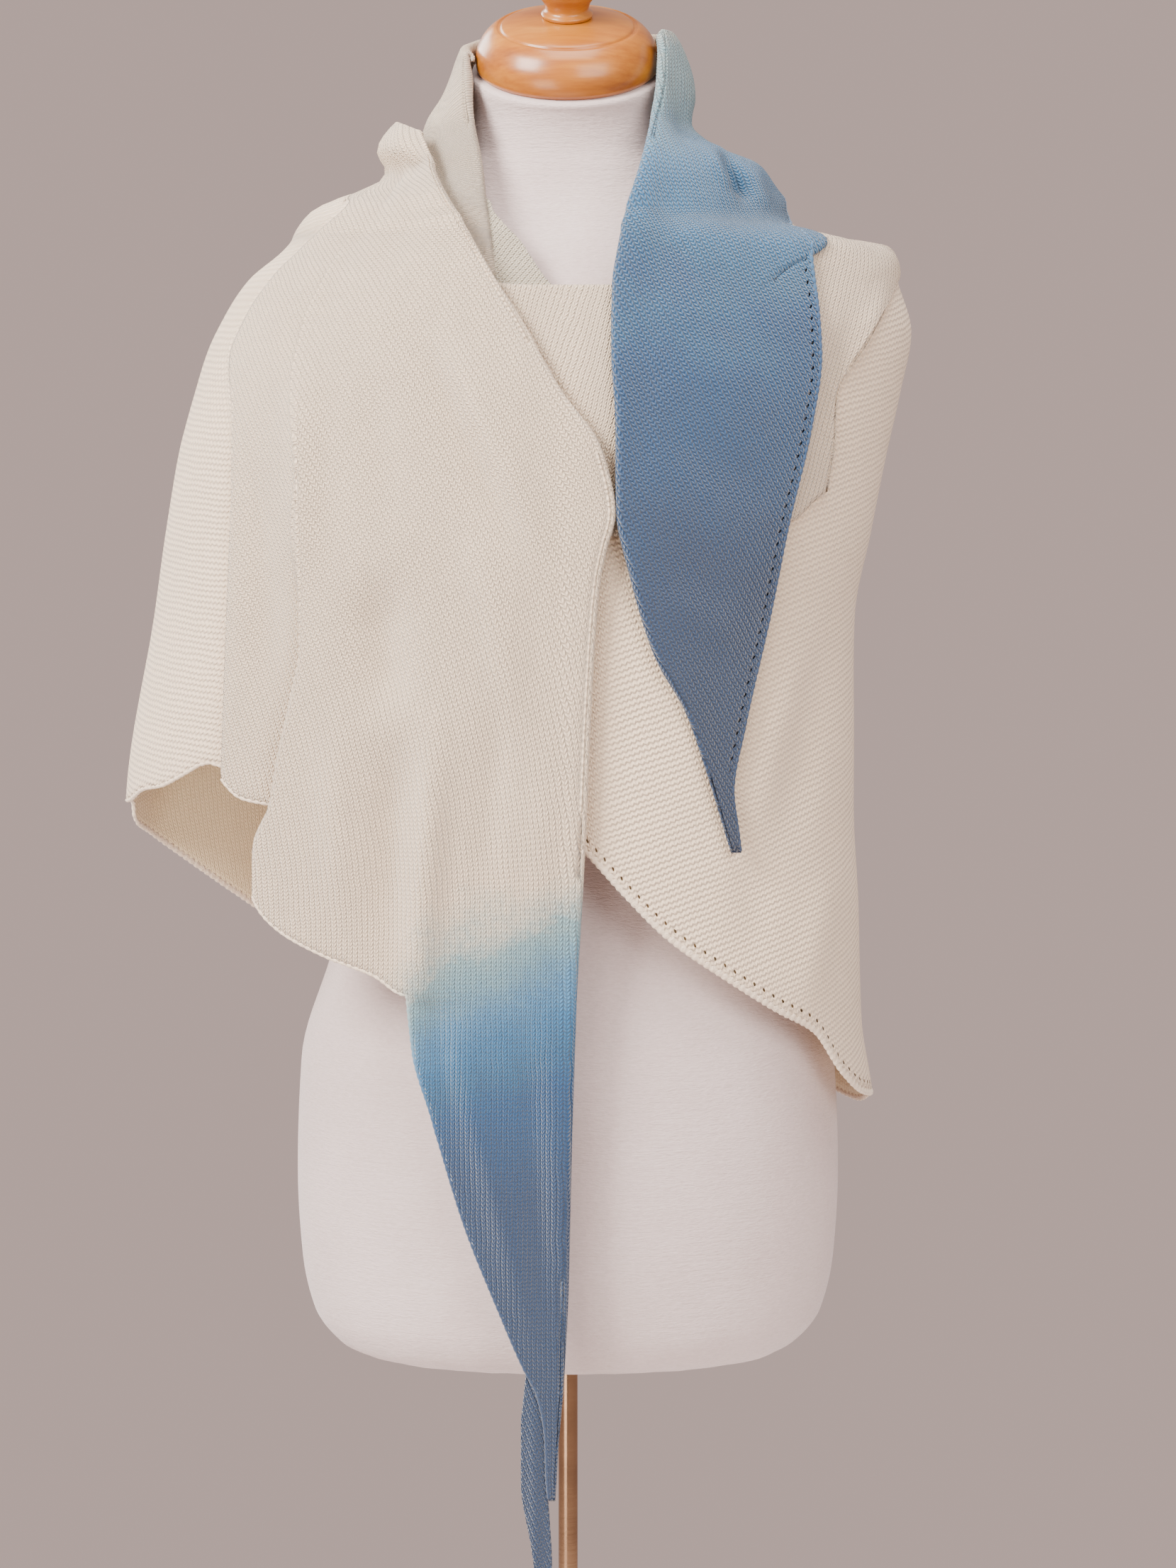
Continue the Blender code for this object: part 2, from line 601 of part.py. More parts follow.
def build_tail():
    """The dyed tail below the hem, and the ply that shows behind it where it twists."""
    blue = material("knit_tail", (0.12, 0.28, 0.42), 0.9)
    left = placed(TAIL_LEFT, 12.0)
    right = placed(TAIL_RIGHT, 12.0)
    lifts = ((260, 13.5, 13, 12), (150, 12, 12, 12), (-100, 12, 12, 12))
    knit_wall("tail", panel(left, right, (), (), lifts, 18, 8, FRONT_FOLDS), blue)

    blue = material("knit_tail_back", (0.06, 0.16, 0.28), 0.9)
    left = placed(BACK_PLY_LEFT, 8.0)
    right = placed(BACK_PLY_RIGHT, 8.0)
    lift = 12 - KNIT_WALL - 0.5
    knit_wall("tail_back", panel(left, right, (), (), ((20, *(lift,) * 3), (-180, *(lift,) * 3)), 12, 5), blue)


for old in list(bpy.data.objects):
    bpy.data.objects.remove(old)
build_form()
build_cap()
build_stand()
build_back()
build_chest()
build_front()
build_point()
build_collar()
build_tail()
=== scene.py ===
"""A long knitted wrap with dip-dyed ends, wound one and a half times round a dress form on a pole stand.

Tables are in millimetres: x to the viewer's right of the form's centre, heights from the form's underside.
Pieces are made in metres, +Z up, the form facing -Y, standing on the floor at Z 0.
"""

import math

import bmesh
import bpy
import numpy as np
from mathutils import Matrix, Vector


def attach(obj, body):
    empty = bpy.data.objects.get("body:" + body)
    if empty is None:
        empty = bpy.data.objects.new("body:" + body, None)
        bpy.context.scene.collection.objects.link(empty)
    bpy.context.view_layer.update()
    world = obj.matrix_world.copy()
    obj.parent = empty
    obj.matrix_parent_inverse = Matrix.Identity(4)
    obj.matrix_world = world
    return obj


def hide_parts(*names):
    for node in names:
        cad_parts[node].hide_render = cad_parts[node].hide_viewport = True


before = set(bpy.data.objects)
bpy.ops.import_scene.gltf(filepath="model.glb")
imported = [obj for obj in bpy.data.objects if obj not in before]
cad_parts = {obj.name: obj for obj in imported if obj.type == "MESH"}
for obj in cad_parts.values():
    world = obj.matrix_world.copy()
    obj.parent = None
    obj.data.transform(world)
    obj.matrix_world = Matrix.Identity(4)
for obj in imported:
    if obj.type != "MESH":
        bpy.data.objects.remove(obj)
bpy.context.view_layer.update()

# ==== Base and pole ==========================================================
# A round steel plate with a turned boss, and the tube that stands in it and goes up into the form.
# Both are plated a warm bronze and polished, so they take soft streaks rather than a mirror.
FORM_LIFT = 500.0
POLE_RADIUS = 6.3
SOCKET_RADIUS = 6.7
SOCKET_DEPTH = 60.0
BASE_RADIUS = 140.0
BOSS_HEIGHT = 22.0
REST_GAP = 0.3


def add_mesh(name, points, faces):
    """A smooth mesh, given in millimetres above the form's underside and made in metres above the floor."""
    in_metres = (np.asarray(points, float) + (0.0, 0.0, FORM_LIFT)) / 1000.0
    mesh = bpy.data.meshes.new(name)
    mesh.from_pydata(in_metres.tolist(), [], [tuple(face) for face in faces])
    mesh.shade_smooth()
    made = bpy.data.objects.new(name, mesh)
    bpy.context.scene.collection.objects.link(made)
    return made


def smooth(knots, values, at):
    """Cubic through the knots whose slopes never overshoot: the harmonic mean of the chords on each side."""
    knots = np.asarray(knots, float)
    values = np.asarray(values, float)
    at = np.clip(np.asarray(at, float), knots[0], knots[-1])
    gaps = np.diff(knots)
    chords = np.diff(values) / gaps
    slopes = np.empty_like(values)
    slopes[0] = chords[0]
    slopes[-1] = chords[-1]
    same = chords[:-1] * chords[1:] > 0
    before = 2 * gaps[1:] + gaps[:-1]
    after = gaps[1:] + 2 * gaps[:-1]
    safe = np.where(same, chords[:-1] * chords[1:], 1.0)
    mean = (before + after) * safe / np.where(same, before * chords[1:] + after * chords[:-1], 1.0)
    slopes[1:-1] = np.where(same, mean, 0.0)
    index = np.clip(np.searchsorted(knots, at, side="right") - 1, 0, len(gaps) - 1)
    width = gaps[index]
    t = (at - knots[index]) / width
    rise = values[index + 1] - values[index]
    cubic = width * (slopes[index] + slopes[index + 1]) - 2 * rise
    square = 3 * rise - width * (2 * slopes[index] + slopes[index + 1])
    return values[index] + t * (width * slopes[index] + t * (square + t * cubic))


def ring(height, half_width, front, back, count=96, roundness=2.0, tilt=0.0, centre=(0.0, 0.0)):
    """A closed section |x/a|^n + |y/b|^n = 1 with one depth b in front and another behind, tipped by tilt."""
    angles = np.linspace(0.0, 2 * math.pi, count, endpoint=False)
    sine = np.sin(angles)
    cosine = np.cos(angles)
    across = half_width * np.sign(cosine) * np.abs(cosine) ** (2 / roundness)
    along = np.where(sine < 0, front, back) * np.sign(sine) * np.abs(sine) ** (2 / roundness)
    tip = math.radians(tilt)
    return np.stack([
        across + centre[0],
        along * math.cos(tip) + centre[1],
        height + along * math.sin(tip),
    ], axis=-1)


def loft(name, rings):
    """A closed skin of quads through rings of equal count, lowest first, with a flat cap at each end."""
    rings = np.asarray(rings, float)
    levels, count = rings.shape[:2]
    start = np.arange(levels - 1)[:, None] * count
    step = np.arange(count)[None]
    a = start + step
    b = start + (step + 1) % count
    sides = np.stack([a, b, b + count, a + count], axis=-1).reshape(-1, 4)
    faces = [tuple(range(count))[::-1], *map(tuple, sides.tolist())]
    faces.append(tuple(range((levels - 1) * count, levels * count)))
    return add_mesh(name, rings.reshape(-1, 3), faces)


def turned(name, profile, count=96, fine=4):
    """A lathe-turned solid: the smooth curve through radius and height pairs, carried round the Z axis."""
    profile = np.asarray(profile, float)
    knots = np.arange(len(profile))
    at = np.linspace(0, len(profile) - 1, (len(profile) - 1) * fine + 1)
    radii = smooth(knots, profile[:, 0], at)
    heights = smooth(knots, profile[:, 1], at)
    return loft(name, [ring(height, radius, radius, radius, count) for radius, height in zip(radii, heights)])


def put(tree, kind, inputs=None, **settings):
    """A shader node with its settings, its inputs given as values or as the sockets that feed them."""
    made = tree.nodes.new(kind)
    for name, value in settings.items():
        setattr(made, name, value)
    for name, value in (inputs or {}).items():
        if isinstance(value, bpy.types.NodeSocket):
            tree.links.new(value, made.inputs[name])
        else:
            made.inputs[name].default_value = value
    return made


def calc(tree, operation, *values):
    """One step of arithmetic between sockets or numbers."""
    return put(tree, "ShaderNodeMath", dict(enumerate(values)), operation=operation).outputs[0]


def added(tree, start, *terms):
    """The start value plus each (value, weight) pair's product."""
    for value, weight in terms:
        start = calc(tree, "MULTIPLY_ADD", value, weight, start)
    return start


def noise(tree, place, scale, detail, roughness=0.5):
    """Soft noise between 0 and 1 at the places given."""
    return put(tree, "ShaderNodeTexNoise", {
        "Vector": place, "Scale": scale, "Detail": detail, "Roughness": roughness,
    }).outputs["Fac"]


def scaled(tree, place, scale, **turned):
    """Places stretched by a scale for each axis, after a shift or a turn."""
    return put(tree, "ShaderNodeMapping", {"Vector": place, "Scale": scale, **turned}).outputs["Vector"]


def ramp(tree, factor, stops):
    """A colour ramp from (place, display colour) stops."""
    made = put(tree, "ShaderNodeValToRGB", {"Fac": factor})
    elements = made.color_ramp.elements
    while len(elements) < len(stops):
        elements.new(0.5)
    for element, (place, code) in zip(elements, stops):
        element.position = place
        element.color = tint(code)
    return made.outputs["Color"]


def tint(code):
    """The linear colour, with full alpha, of a six-figure display colour."""
    values = [int(code[at:at + 2], 16) / 255 for at in (0, 2, 4)]
    linear = [value / 12.92 if value < 0.04045 else ((value + 0.055) / 1.055) ** 2.4 for value in values]
    return (*linear, 1.0)


def new_group(name, inputs, outputs):
    """A node group with inputs (name, type, value) and outputs (name, type): its tree and both end nodes."""
    tree = bpy.data.node_groups.new(name, "ShaderNodeTree")
    for label, kind, value in inputs:
        socket = tree.interface.new_socket(label, in_out="INPUT", socket_type=kind)
        if value is not None:
            socket.default_value = value
    for label, kind in outputs:
        tree.interface.new_socket(label, in_out="OUTPUT", socket_type=kind)
    return tree, tree.nodes.new("NodeGroupInput"), tree.nodes.new("NodeGroupOutput")


def use_group(tree, group, inputs):
    """A placed group with its own values."""
    return put(tree, "ShaderNodeGroup", inputs, node_tree=bpy.data.node_groups[group])


def new_finish(name, **constants):
    """A material, its tree and its Principled shader with constants set on the shader's own sockets."""
    made = bpy.data.materials.new(name)
    made.use_nodes = True
    shader = made.node_tree.nodes["Principled BSDF"]
    for label, value in constants.items():
        shader.inputs[label.replace("_", " ")].default_value = value
    return made, made.node_tree, shader


def paint(tree, shader, colour, height, strength, distance):
    """Give a shader its colour, and its normal from a height."""
    tree.links.new(colour, shader.inputs["Base Color"])
    bump = put(tree, "ShaderNodeBump", {"Height": height, "Strength": strength, "Distance": distance})
    tree.links.new(bump.outputs["Normal"], shader.inputs["Normal"])


FLOAT = "NodeSocketFloat"
VECTOR = "NodeSocketVector"
COLOUR = "NodeSocketColor"

# Slow patches of wear or unevenness: soft noise between 0 and 1 at a given size.
tree, given, result = new_group(
    "uneven_patches", [("Place", VECTOR, None), ("Size", FLOAT, 0.05)], [("Patches", FLOAT)]
)
patches = noise(tree, given.outputs["Place"], calc(tree, "DIVIDE", 1.0, given.outputs["Size"]), 3.0)
tree.links.new(patches, result.inputs["Patches"])


def bronze_finish(name, roughness):
    """Polished bronze plating: brushed bands round the work and slow patches in the roughness."""
    finish, tree, shader = new_finish(name, Metallic=1.0)
    place = put(tree, "ShaderNodeTexCoord").outputs["Object"]
    patches = use_group(tree, "uneven_patches", {"Place": place, "Size": 0.03}).outputs["Patches"]
    bands = noise(tree, scaled(tree, place, (1.0, 1.0, 40.0)), 12.0, 4.0)
    colour = ramp(tree, patches, [(0.3, "96755A"), (0.7, "B08C6C")])
    tree.links.new(added(tree, roughness, (bands, 0.12)), shader.inputs["Roughness"])
    paint(tree, shader, colour, bands, 0.15, 0.0002)
    return finish


floor_level = -FORM_LIFT
boss_top = floor_level + BOSS_HEIGHT
base = turned("base_plate", (
    (BASE_RADIUS - 2, floor_level), (BASE_RADIUS, floor_level + 2), (BASE_RADIUS, floor_level + 5),
    (BASE_RADIUS - 4, floor_level + 8), (60, floor_level + 11), (20, floor_level + 14),
    (13, floor_level + 17), (12, boss_top),
), fine=3)
base.data.materials.append(bronze_finish("base_bronze_plating", 0.2))
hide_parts("base")
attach(base, "root")

pole = turned("pole_tube", (
    (POLE_RADIUS, boss_top + REST_GAP), (POLE_RADIUS, -200), (POLE_RADIUS, SOCKET_DEPTH - REST_GAP),
), count=48)
pole.data.materials.append(bronze_finish("pole_bronze_plating", 0.16))
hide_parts("pole")
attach(pole, "root")

# ==== Form ===================================================================
# The limbless form: a foam body under one skin of off-white cotton jersey, pulled down over the shoulders
# and gathered under the hips with a drawn thread, so its lower edge is very slightly wavy.
VIEW_DISTANCE = 2300.0
VIEW_HEIGHT = 600.0
VIEW_CENTRE = (13.0, 378.0)
VIEW_PITCH = math.atan2(VIEW_HEIGHT - VIEW_CENTRE[1], VIEW_DISTANCE)
VIEW_REACH = VIEW_DISTANCE / math.cos(VIEW_PITCH)
NECK_TILT = 25.0
NECK_TOP = (0.0, -8.0, 828.5)
NECK_RADIUS = 60.8
FORM_ROUNDNESS = 2.2
GATHER_REACH = 14.0
# height, half width, reach to the front and back, shares of the neck's tilt and of its move forwards
NECK_RINGS = ((808, 59.3, 55, 56, 0.45, 0.6), (818, 60.2, 57.5, 58, 0.75, 0.8))
# height and half width as seen from the front, reach to the front, reach to the back
FORM = (
    (15.5, 118, 62, 64), (18.5, 133, 76, 76), (28, 149, 90, 90), (45, 162, 98, 98), (80, 170, 102, 102),
    (130, 173, 104, 104), (205, 170.5, 102, 102), (265, 153, 95, 95), (330, 133, 87, 88), (400, 122, 86, 84),
    (470, 131, 93, 88), (540, 146, 106, 96), (600, 157, 112, 104), (650, 176, 102, 108), (690, 201, 86, 102),
    (704, 198.5, 78, 96), (714, 189.6, 72, 90), (726, 164, 65, 80), (742, 124, 58, 69), (760, 86, 54, 61),
    (785, 62, 53, 56),
)


def as_seen(points):
    """Where a point shows on the plane Y 0: where the line from the view through it meets that plane."""
    along = points[..., 1] + VIEW_DISTANCE
    up = points[..., 2] - VIEW_HEIGHT
    away = along * math.cos(VIEW_PITCH) - up * math.sin(VIEW_PITCH)
    rise = along * math.sin(VIEW_PITCH) + up * math.cos(VIEW_PITCH)
    x = VIEW_CENTRE[0] + (points[..., 0] - VIEW_CENTRE[0]) * VIEW_REACH / away
    return x, VIEW_CENTRE[1] + rise * VIEW_REACH / away


def on_centre_plane(x, height):
    """The true place, on the plane through the form's centre, of what shows at (x, height)."""
    true_x = np.array(x, float)
    true_height = np.array(height, float)
    for _ in range(8):
        seen_x, seen_height = as_seen(np.stack([true_x, 0 * true_x, true_height], axis=-1))
        true_x = true_x + x - seen_x
        true_height = true_height + height - seen_height
    return true_x, true_height


heights, half_widths, fronts, backs = np.array(FORM, float).T
right, true_heights = on_centre_plane(half_widths, heights)
left, _ = on_centre_plane(-half_widths, heights)
underside = float(true_heights[0])
rings = [ring(height, *(SOCKET_RADIUS,) * 3) for height in (SOCKET_DEPTH, SOCKET_DEPTH / 2, underside + 0.4)]
fine_heights = np.concatenate([np.linspace(underside, 60, 25), np.linspace(64, true_heights[-1], 90)])
for height in fine_heights:
    section = [float(smooth(true_heights, values, height)) for values in ((right - left) / 2, fronts, backs)]
    body_ring = ring(height, *section, roundness=FORM_ROUNDNESS)
    gather = math.exp(-((height - underside) / GATHER_REACH) ** 2)
    angles = np.arctan2(body_ring[:, 1], body_ring[:, 0])
    ripple = 0.8 * np.sin(31 * angles) + 0.7 * np.sin(17 * angles + 1.3)
    body_ring[:, :2] *= 1 + gather * ripple[:, None] * 0.008
    rings.append(body_ring)
x, y, top = NECK_TOP
for *sizes, tilt_share, move_share in NECK_RINGS:
    rings.append(ring(*sizes, tilt=NECK_TILT * tilt_share, centre=(x, y * move_share)))
for height, inset in ((top - 2, 0.4), (top, 1.2)):
    rings.append(ring(height, *(NECK_RADIUS - inset,) * 3, tilt=NECK_TILT, centre=(x, y)))
form = loft("form_jersey_body", rings)

finish, tree, shader = new_finish(
    "form_cotton_jersey", Roughness=0.92, Sheen_Weight=0.35, Sheen_Roughness=0.5
)
place = put(tree, "ShaderNodeTexCoord").outputs["Object"]
patches = use_group(tree, "uneven_patches", {"Place": place, "Size": 0.09}).outputs["Patches"]
loops = noise(tree, scaled(tree, place, (260.0, 260.0, 900.0)), 1.0, 3.0, 0.65)
slubs = noise(tree, scaled(tree, place, (25.0, 25.0, 420.0)), 1.0, 2.0)
shade = added(tree, 0.0, (patches, 0.5), (loops, 0.5))
colour = ramp(tree, shade, [(0.3, "CDB8B3"), (0.65, "E2CFCB")])
paint(tree, shader, colour, added(tree, loops, (slubs, 0.6)), 0.6, 0.0012)
form.data.materials.append(finish)
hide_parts("form_body")
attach(form, "root")

# ==== Neck cap and finial ====================================================
# Two pieces of turned hardwood, stained honey orange under clear gloss lacquer. The cap has a groove round
# its raised disc, the finial screws into it, and both stand on the neck's forward tilt.
CAP_PROFILE = (
    (54.5, REST_GAP), (57.0, 3), (57.5, 8), (56.5, 14), (53, 21), (48.5, 26), (44.5, 28.6),
    (43.2, 28.0), (42.2, 28.0), (41.2, 29.4), (35, 31.6), (26, 33.6), (17, 35),
)
FINIAL_FOOT = 35 + REST_GAP
FINIAL_PROFILE = (
    (15.5, 0), (16.2, 2), (13.5, 5), (14.5, 9), (19, 15), (24, 24), (26, 34), (25, 43), (20, 52), (12, 58),
    (4, 60),
)


def tip_to_neck(made):
    """Move a turned piece from the underside's centre to the tilted top of the neck."""
    top = Vector((NECK_TOP[0], NECK_TOP[1], NECK_TOP[2] + FORM_LIFT)) / 1000.0
    from_origin = Matrix.Translation((0.0, 0.0, -FORM_LIFT / 1000.0))
    tilt = Matrix.Rotation(math.radians(NECK_TILT), 4, "X")
    made.data.transform(Matrix.Translation(top) @ tilt @ from_origin)


finish, tree, shader = new_finish(
    "lacquered_wood", Coat_Weight=0.6, Coat_Roughness=0.22, Specular_IOR_Level=0.4
)
place = put(tree, "ShaderNodeTexCoord").outputs["Object"]
turned_place = scaled(tree, place, (1.0, 3.0, 9.0), Location=(0.03, 0.0, -1.3), Rotation=(0.25, 0.1, 0.5))
warp = noise(tree, turned_place, 9.0, 5.0)
grain = noise(tree, scaled(tree, place, (18.0, 160.0, 320.0), Rotation=(0.0, 0.3, 0.35)), 1.0, 6.0, 0.7)
figure = added(tree, 0.0, (warp, 0.65), (grain, 0.35))
colour = ramp(tree, figure, [(0.32, "84420E"), (0.47, "A65F16"), (0.6, "B87220"), (0.75, "CB8A36")])
tree.links.new(added(tree, 0.3, (grain, 0.15)), shader.inputs["Roughness"])
paint(tree, shader, colour, grain, 0.12, 0.0003)

for name, profile, foot, node, slot in (
    ("neck_cap_turned", CAP_PROFILE, 0.0, "neck_cap", "cap_wood"),
    ("finial_turned", FINIAL_PROFILE, FINIAL_FOOT, "finial", "finial_wood"),
):
    wood = turned(name, np.array(profile) + (0.0, foot))
    tip_to_neck(wood)
    wood.data.materials.append(finish)
    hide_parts(node)
    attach(wood, "root")

# ==== Wrap: the long body of the cloth =======================================
# One machine-knitted sheet of fine cream wool. It runs from the chest under the front layer, round the left
# side and the back, off the right shoulder in two open folds, and down the front into the long dyed tail.
# Nothing holds it: it lies on the form's shoulders and hangs from them.
KNIT_WALL = 2.2
ROUNDNESS = 2.3
TURN_LENGTH = 2.6
CHEST_HEIGHT = 650.0
UPPER_SHARE = 0.38
ARM_TURN = 262.0
SHOULDER_TURN = 92.0
# added where the cloth has gone once round, so that turns keep rising along it
ONE_TURN = (360.0, 0.0)
# height, reach to -X and to +X as seen, reach to the front, reach to the back
DRAPE = (
    (866, 56, 58, 48, 66), (850, 66, 70, 54, 73), (825, 77, 79, 62, 81), (800, 90, 82, 68, 86),
    (789, 95, 94, 71, 89), (777, 103, 110, 74, 92), (767, 109, 120, 77, 95), (751, 138, 129, 82, 100),
    (740, 161, 137, 86, 102), (733, 167, 145, 88, 103), (728, 170, 156, 90, 104), (724, 172, 178, 91, 105),
    (716, 180, 202, 93, 107),
    (697, 202, 209, 99, 110), (668, 218, 219, 108, 114), (630, 232, 212, 117, 117), (590, 245, 203, 122, 118),
    (540, 255, 193, 125, 116), (487, 263, 183, 126, 113), (370, 281, 182, 124, 112),
    (300, 283, 185, 122, 114),
    (230, 270, 187, 121, 117), (170, 230, 195, 121, 120), (-200, 230, 195, 121, 120),
)
drape = np.array(DRAPE[::-1], float)
drape_right, drape_heights = on_centre_plane(drape[:, 2], drape[:, 0])
drape_left, _ = on_centre_plane(-drape[:, 1], drape[:, 0])
DRAPE_REACHES = (-drape_left, drape_right, drape[:, 3], drape[:, 4])


def drape_point(turn, height):
    """A point of the drape surface: a section |x/a|^n + |y/b|^n = 1, with its own reach on four sides."""
    turn = np.radians(turn)
    left, right, front, back = (smooth(drape_heights, reach, height) for reach in DRAPE_REACHES)
    sine = np.sin(turn)
    cosine = np.cos(turn)
    across = np.where(sine < 0, left, right) * np.abs(sine) ** (2 / ROUNDNESS) * np.sign(sine)
    along = np.where(cosine < 0, back, front) * np.abs(cosine) ** (2 / ROUNDNESS) * np.sign(cosine)
    return np.stack([across, -along, np.asarray(height, float) + 0 * across], axis=-1)


def lifted(turn, height, lift):
    """The drape surface moved outwards by lift along its own normal."""
    turn = np.asarray(turn, float)
    height = np.asarray(height, float)
    sideways = drape_point(turn + 1.0, height) - drape_point(turn - 1.0, height)
    upwards = drape_point(turn, height + 2.0) - drape_point(turn, height - 2.0)
    normal = np.cross(sideways, upwards)
    normal /= np.linalg.norm(normal, axis=-1, keepdims=True)
    return drape_point(turn, height) + normal * np.asarray(lift, float)[..., None]


def placed(line, lift=0.0, behind=False, fine=1):
    """Turn and height of the surface points that show at the (x, height) pairs, found by halving the miss."""
    x, height = np.array(line, float).T
    if fine > 1:
        run = np.concatenate([[0.0], np.cumsum(np.hypot(np.diff(x), np.diff(height)))])
        at = np.linspace(0.0, run[-1], fine * len(run))
        x, height = smooth(run, x, at), smooth(run, height, at)
    try_x = x.copy()
    try_height = height.copy()
    for _ in range(40):
        rise = by_height(lift, try_height) if isinstance(lift, tuple) else lift + 0 * try_x
        left = smooth(drape_heights, DRAPE_REACHES[0], try_height)
        right = smooth(drape_heights, DRAPE_REACHES[1], try_height)
        share = np.clip(np.abs(try_x) / np.where(try_x < 0, left, right), 0.0, 1.0)
        turn = np.copysign(np.degrees(np.arcsin(share ** (ROUNDNESS / 2))), try_x)
        if behind:
            turn = np.copysign(180.0, try_x) - turn
        seen_x, seen_height = as_seen(lifted(turn, try_height, rise))
        try_x = try_x + 0.5 * (x - seen_x)
        try_height = try_height + 0.5 * (height - seen_height)
    return np.stack([turn, try_height], axis=-1)


def spread(points, count):
    """Count places, evenly spaced along a smooth line through the given ones."""
    points = np.asarray(points, float)
    if len(points) == count:
        return points
    steps = np.diff(points, axis=0) * (TURN_LENGTH, 1.0)
    run = np.concatenate([[0.0], np.cumsum(np.hypot(steps[:, 0], steps[:, 1]))])
    at = np.linspace(0.0, run[-1], count)
    return np.stack([smooth(run, points[:, 0], at), smooth(run, points[:, 1], at)], axis=-1)


def by_height(table, height):
    """A rise off the drape surface from (height, rise) pairs."""
    table = np.array(sorted(table), float).T
    return smooth(table[0], table[1], height)


def edge(line, lifts, rows):
    """An edge of a panel: its places, and the rise off the drape surface at each."""
    places = spread(line, rows)
    return places, by_height(lifts, places[:, 1])


def rib(line, lifts, rows, turns=0.0):
    """An edge that always falls: its rows are even in height down to the chest, and even again below it."""
    line = np.asarray(line, float)
    line = line[np.argsort(line[:, 1])]
    upper = int(rows * UPPER_SHARE)
    height = np.concatenate([
        np.linspace(line[-1, 1], CHEST_HEIGHT, upper, endpoint=False),
        np.linspace(CHEST_HEIGHT, line[0, 1], rows - upper),
    ])
    turn = smooth(line[:, 1], line[:, 0], height) + turns
    return np.stack([turn, height], axis=-1), by_height(lifts, height)


def seen_edge(line, lifts, rows, turns=0.0):
    """An edge that shows exactly along the (x, height) pairs, at the rise its own table gives."""
    return edge(placed(line, lifts, fine=5) + (turns, 0.0), lifts, rows)


def ease(share, least=0.0):
    """A share kept between the least one and 1, then eased so that it starts and ends flat."""
    share = np.clip(share, least, 1.0)
    return share * share * (3 - 2 * share)


def panel(left, right, top, bottom, middle, columns):
    """A Coons patch between four lines of (turn, height); the rise eases from each edge's to the middle's."""
    (down_left, lift_left), (down_right, lift_right) = left, right
    rows = len(down_left)
    along_top = spread([down_left[0], *top, down_right[0]], columns)[None]
    along_bottom = spread([down_left[-1], *bottom, down_right[-1]], columns)[None]
    u = np.linspace(0.0, 1.0, columns)[None, :, None]
    v = np.linspace(0.0, 1.0, rows)[:, None, None]
    between_sides = (1 - u) * down_left[:, None] + u * down_right[:, None]
    between_ends = (1 - v) * along_top + v * along_bottom
    corners = (1 - v) * ((1 - u) * along_top[:, :1] + u * along_top[:, -1:])
    corners = corners + v * ((1 - u) * along_bottom[:, :1] + u * along_bottom[:, -1:])
    flat = between_sides + between_ends - corners
    u = u[..., 0]
    if middle is None:
        lift = (1 - ease(u)) * lift_left[:, None] + ease(u) * lift_right[:, None]
    else:
        at_middle = by_height(middle, flat[..., 1])
        lift = at_middle + ease(1 - 2 * u) * (lift_left[:, None] - at_middle)
        lift = lift + ease(2 * u - 1) * (lift_right[:, None] - at_middle)
    return np.concatenate([flat, lift[..., None]], axis=-1)


def fold_rise(x, height, folds):
    """Soft ridges and troughs along lines: a bell across each line, fading towards both its ends."""
    rise = np.zeros_like(x)
    for x0, h0, x1, h1, half_width, depth in folds:
        run = np.array([x1 - x0, h1 - h0], float)
        length = np.hypot(*run)
        along = ((x - x0) * run[0] + (height - h0) * run[1]) / length ** 2
        off = ((x - x0) * run[1] - (height - h0) * run[0]) / length
        fade = ease(1.25 - np.abs(2 * along - 1))
        rise += depth * np.exp(-(off / half_width) ** 2) * fade
    return rise


def grid_normals(grid):
    """Unit normals of a grid, outwards when turns rise along a row and heights fall down a column."""
    normals = np.cross(np.gradient(grid, axis=0), np.gradient(grid, axis=1))
    return normals / np.maximum(np.linalg.norm(normals, axis=-1, keepdims=True), 1e-9)


# Lengths on the drape surface: across from the front's middle line, and up from the underside.
FIRST_TURN, TURN_STEP = -180.0, 5.0
FIRST_HEIGHT, HEIGHT_STEP = -200.0, 4.0
length_turns = np.arange(FIRST_TURN, 365.0, TURN_STEP)
length_heights = np.arange(FIRST_HEIGHT, 900.0, HEIGHT_STEP)
length_grid = drape_point(length_turns[None], length_heights[:, None])
step_across = np.linalg.norm(np.diff(length_grid, axis=1), axis=-1)
step_up = np.linalg.norm(np.diff(length_grid, axis=0), axis=-1)
ACROSS = np.concatenate([np.zeros((len(length_heights), 1)), np.cumsum(step_across, axis=1)], axis=1)
ACROSS = ACROSS - ACROSS[:, [int(-FIRST_TURN / TURN_STEP)]]
UP = np.concatenate([np.zeros((1, len(length_turns))), np.cumsum(step_up, axis=0)], axis=0)
UP = UP - UP[[int(-FIRST_HEIGHT / HEIGHT_STEP)]]


def on_cloth(turn, height):
    """Place on the cloth in millimetres: (across, up), read from the length tables between their knots."""
    a = np.clip((turn - FIRST_TURN) / TURN_STEP, 0, len(length_turns) - 1.001)
    b = np.clip((height - FIRST_HEIGHT) / HEIGHT_STEP, 0, len(length_heights) - 1.001)
    i, j = a.astype(int), b.astype(int)
    a, b = a - i, b - j
    both = []
    for table in (ACROSS, UP):
        low = (1 - a) * table[j, i] + a * table[j, i + 1]
        high = (1 - a) * table[j + 1, i] + a * table[j + 1, i + 1]
        both.append((1 - b) * low + b * high)
    return np.stack(both, axis=-1)


def run_along(grid, axis):
    """Distance run from the first row or column of a grid."""
    steps = np.linalg.norm(np.diff(grid, axis=axis), axis=-1)
    start = np.zeros_like(steps[:1] if axis == 0 else steps[:, :1])
    return np.concatenate([start, np.cumsum(steps, axis=axis)], axis=axis)


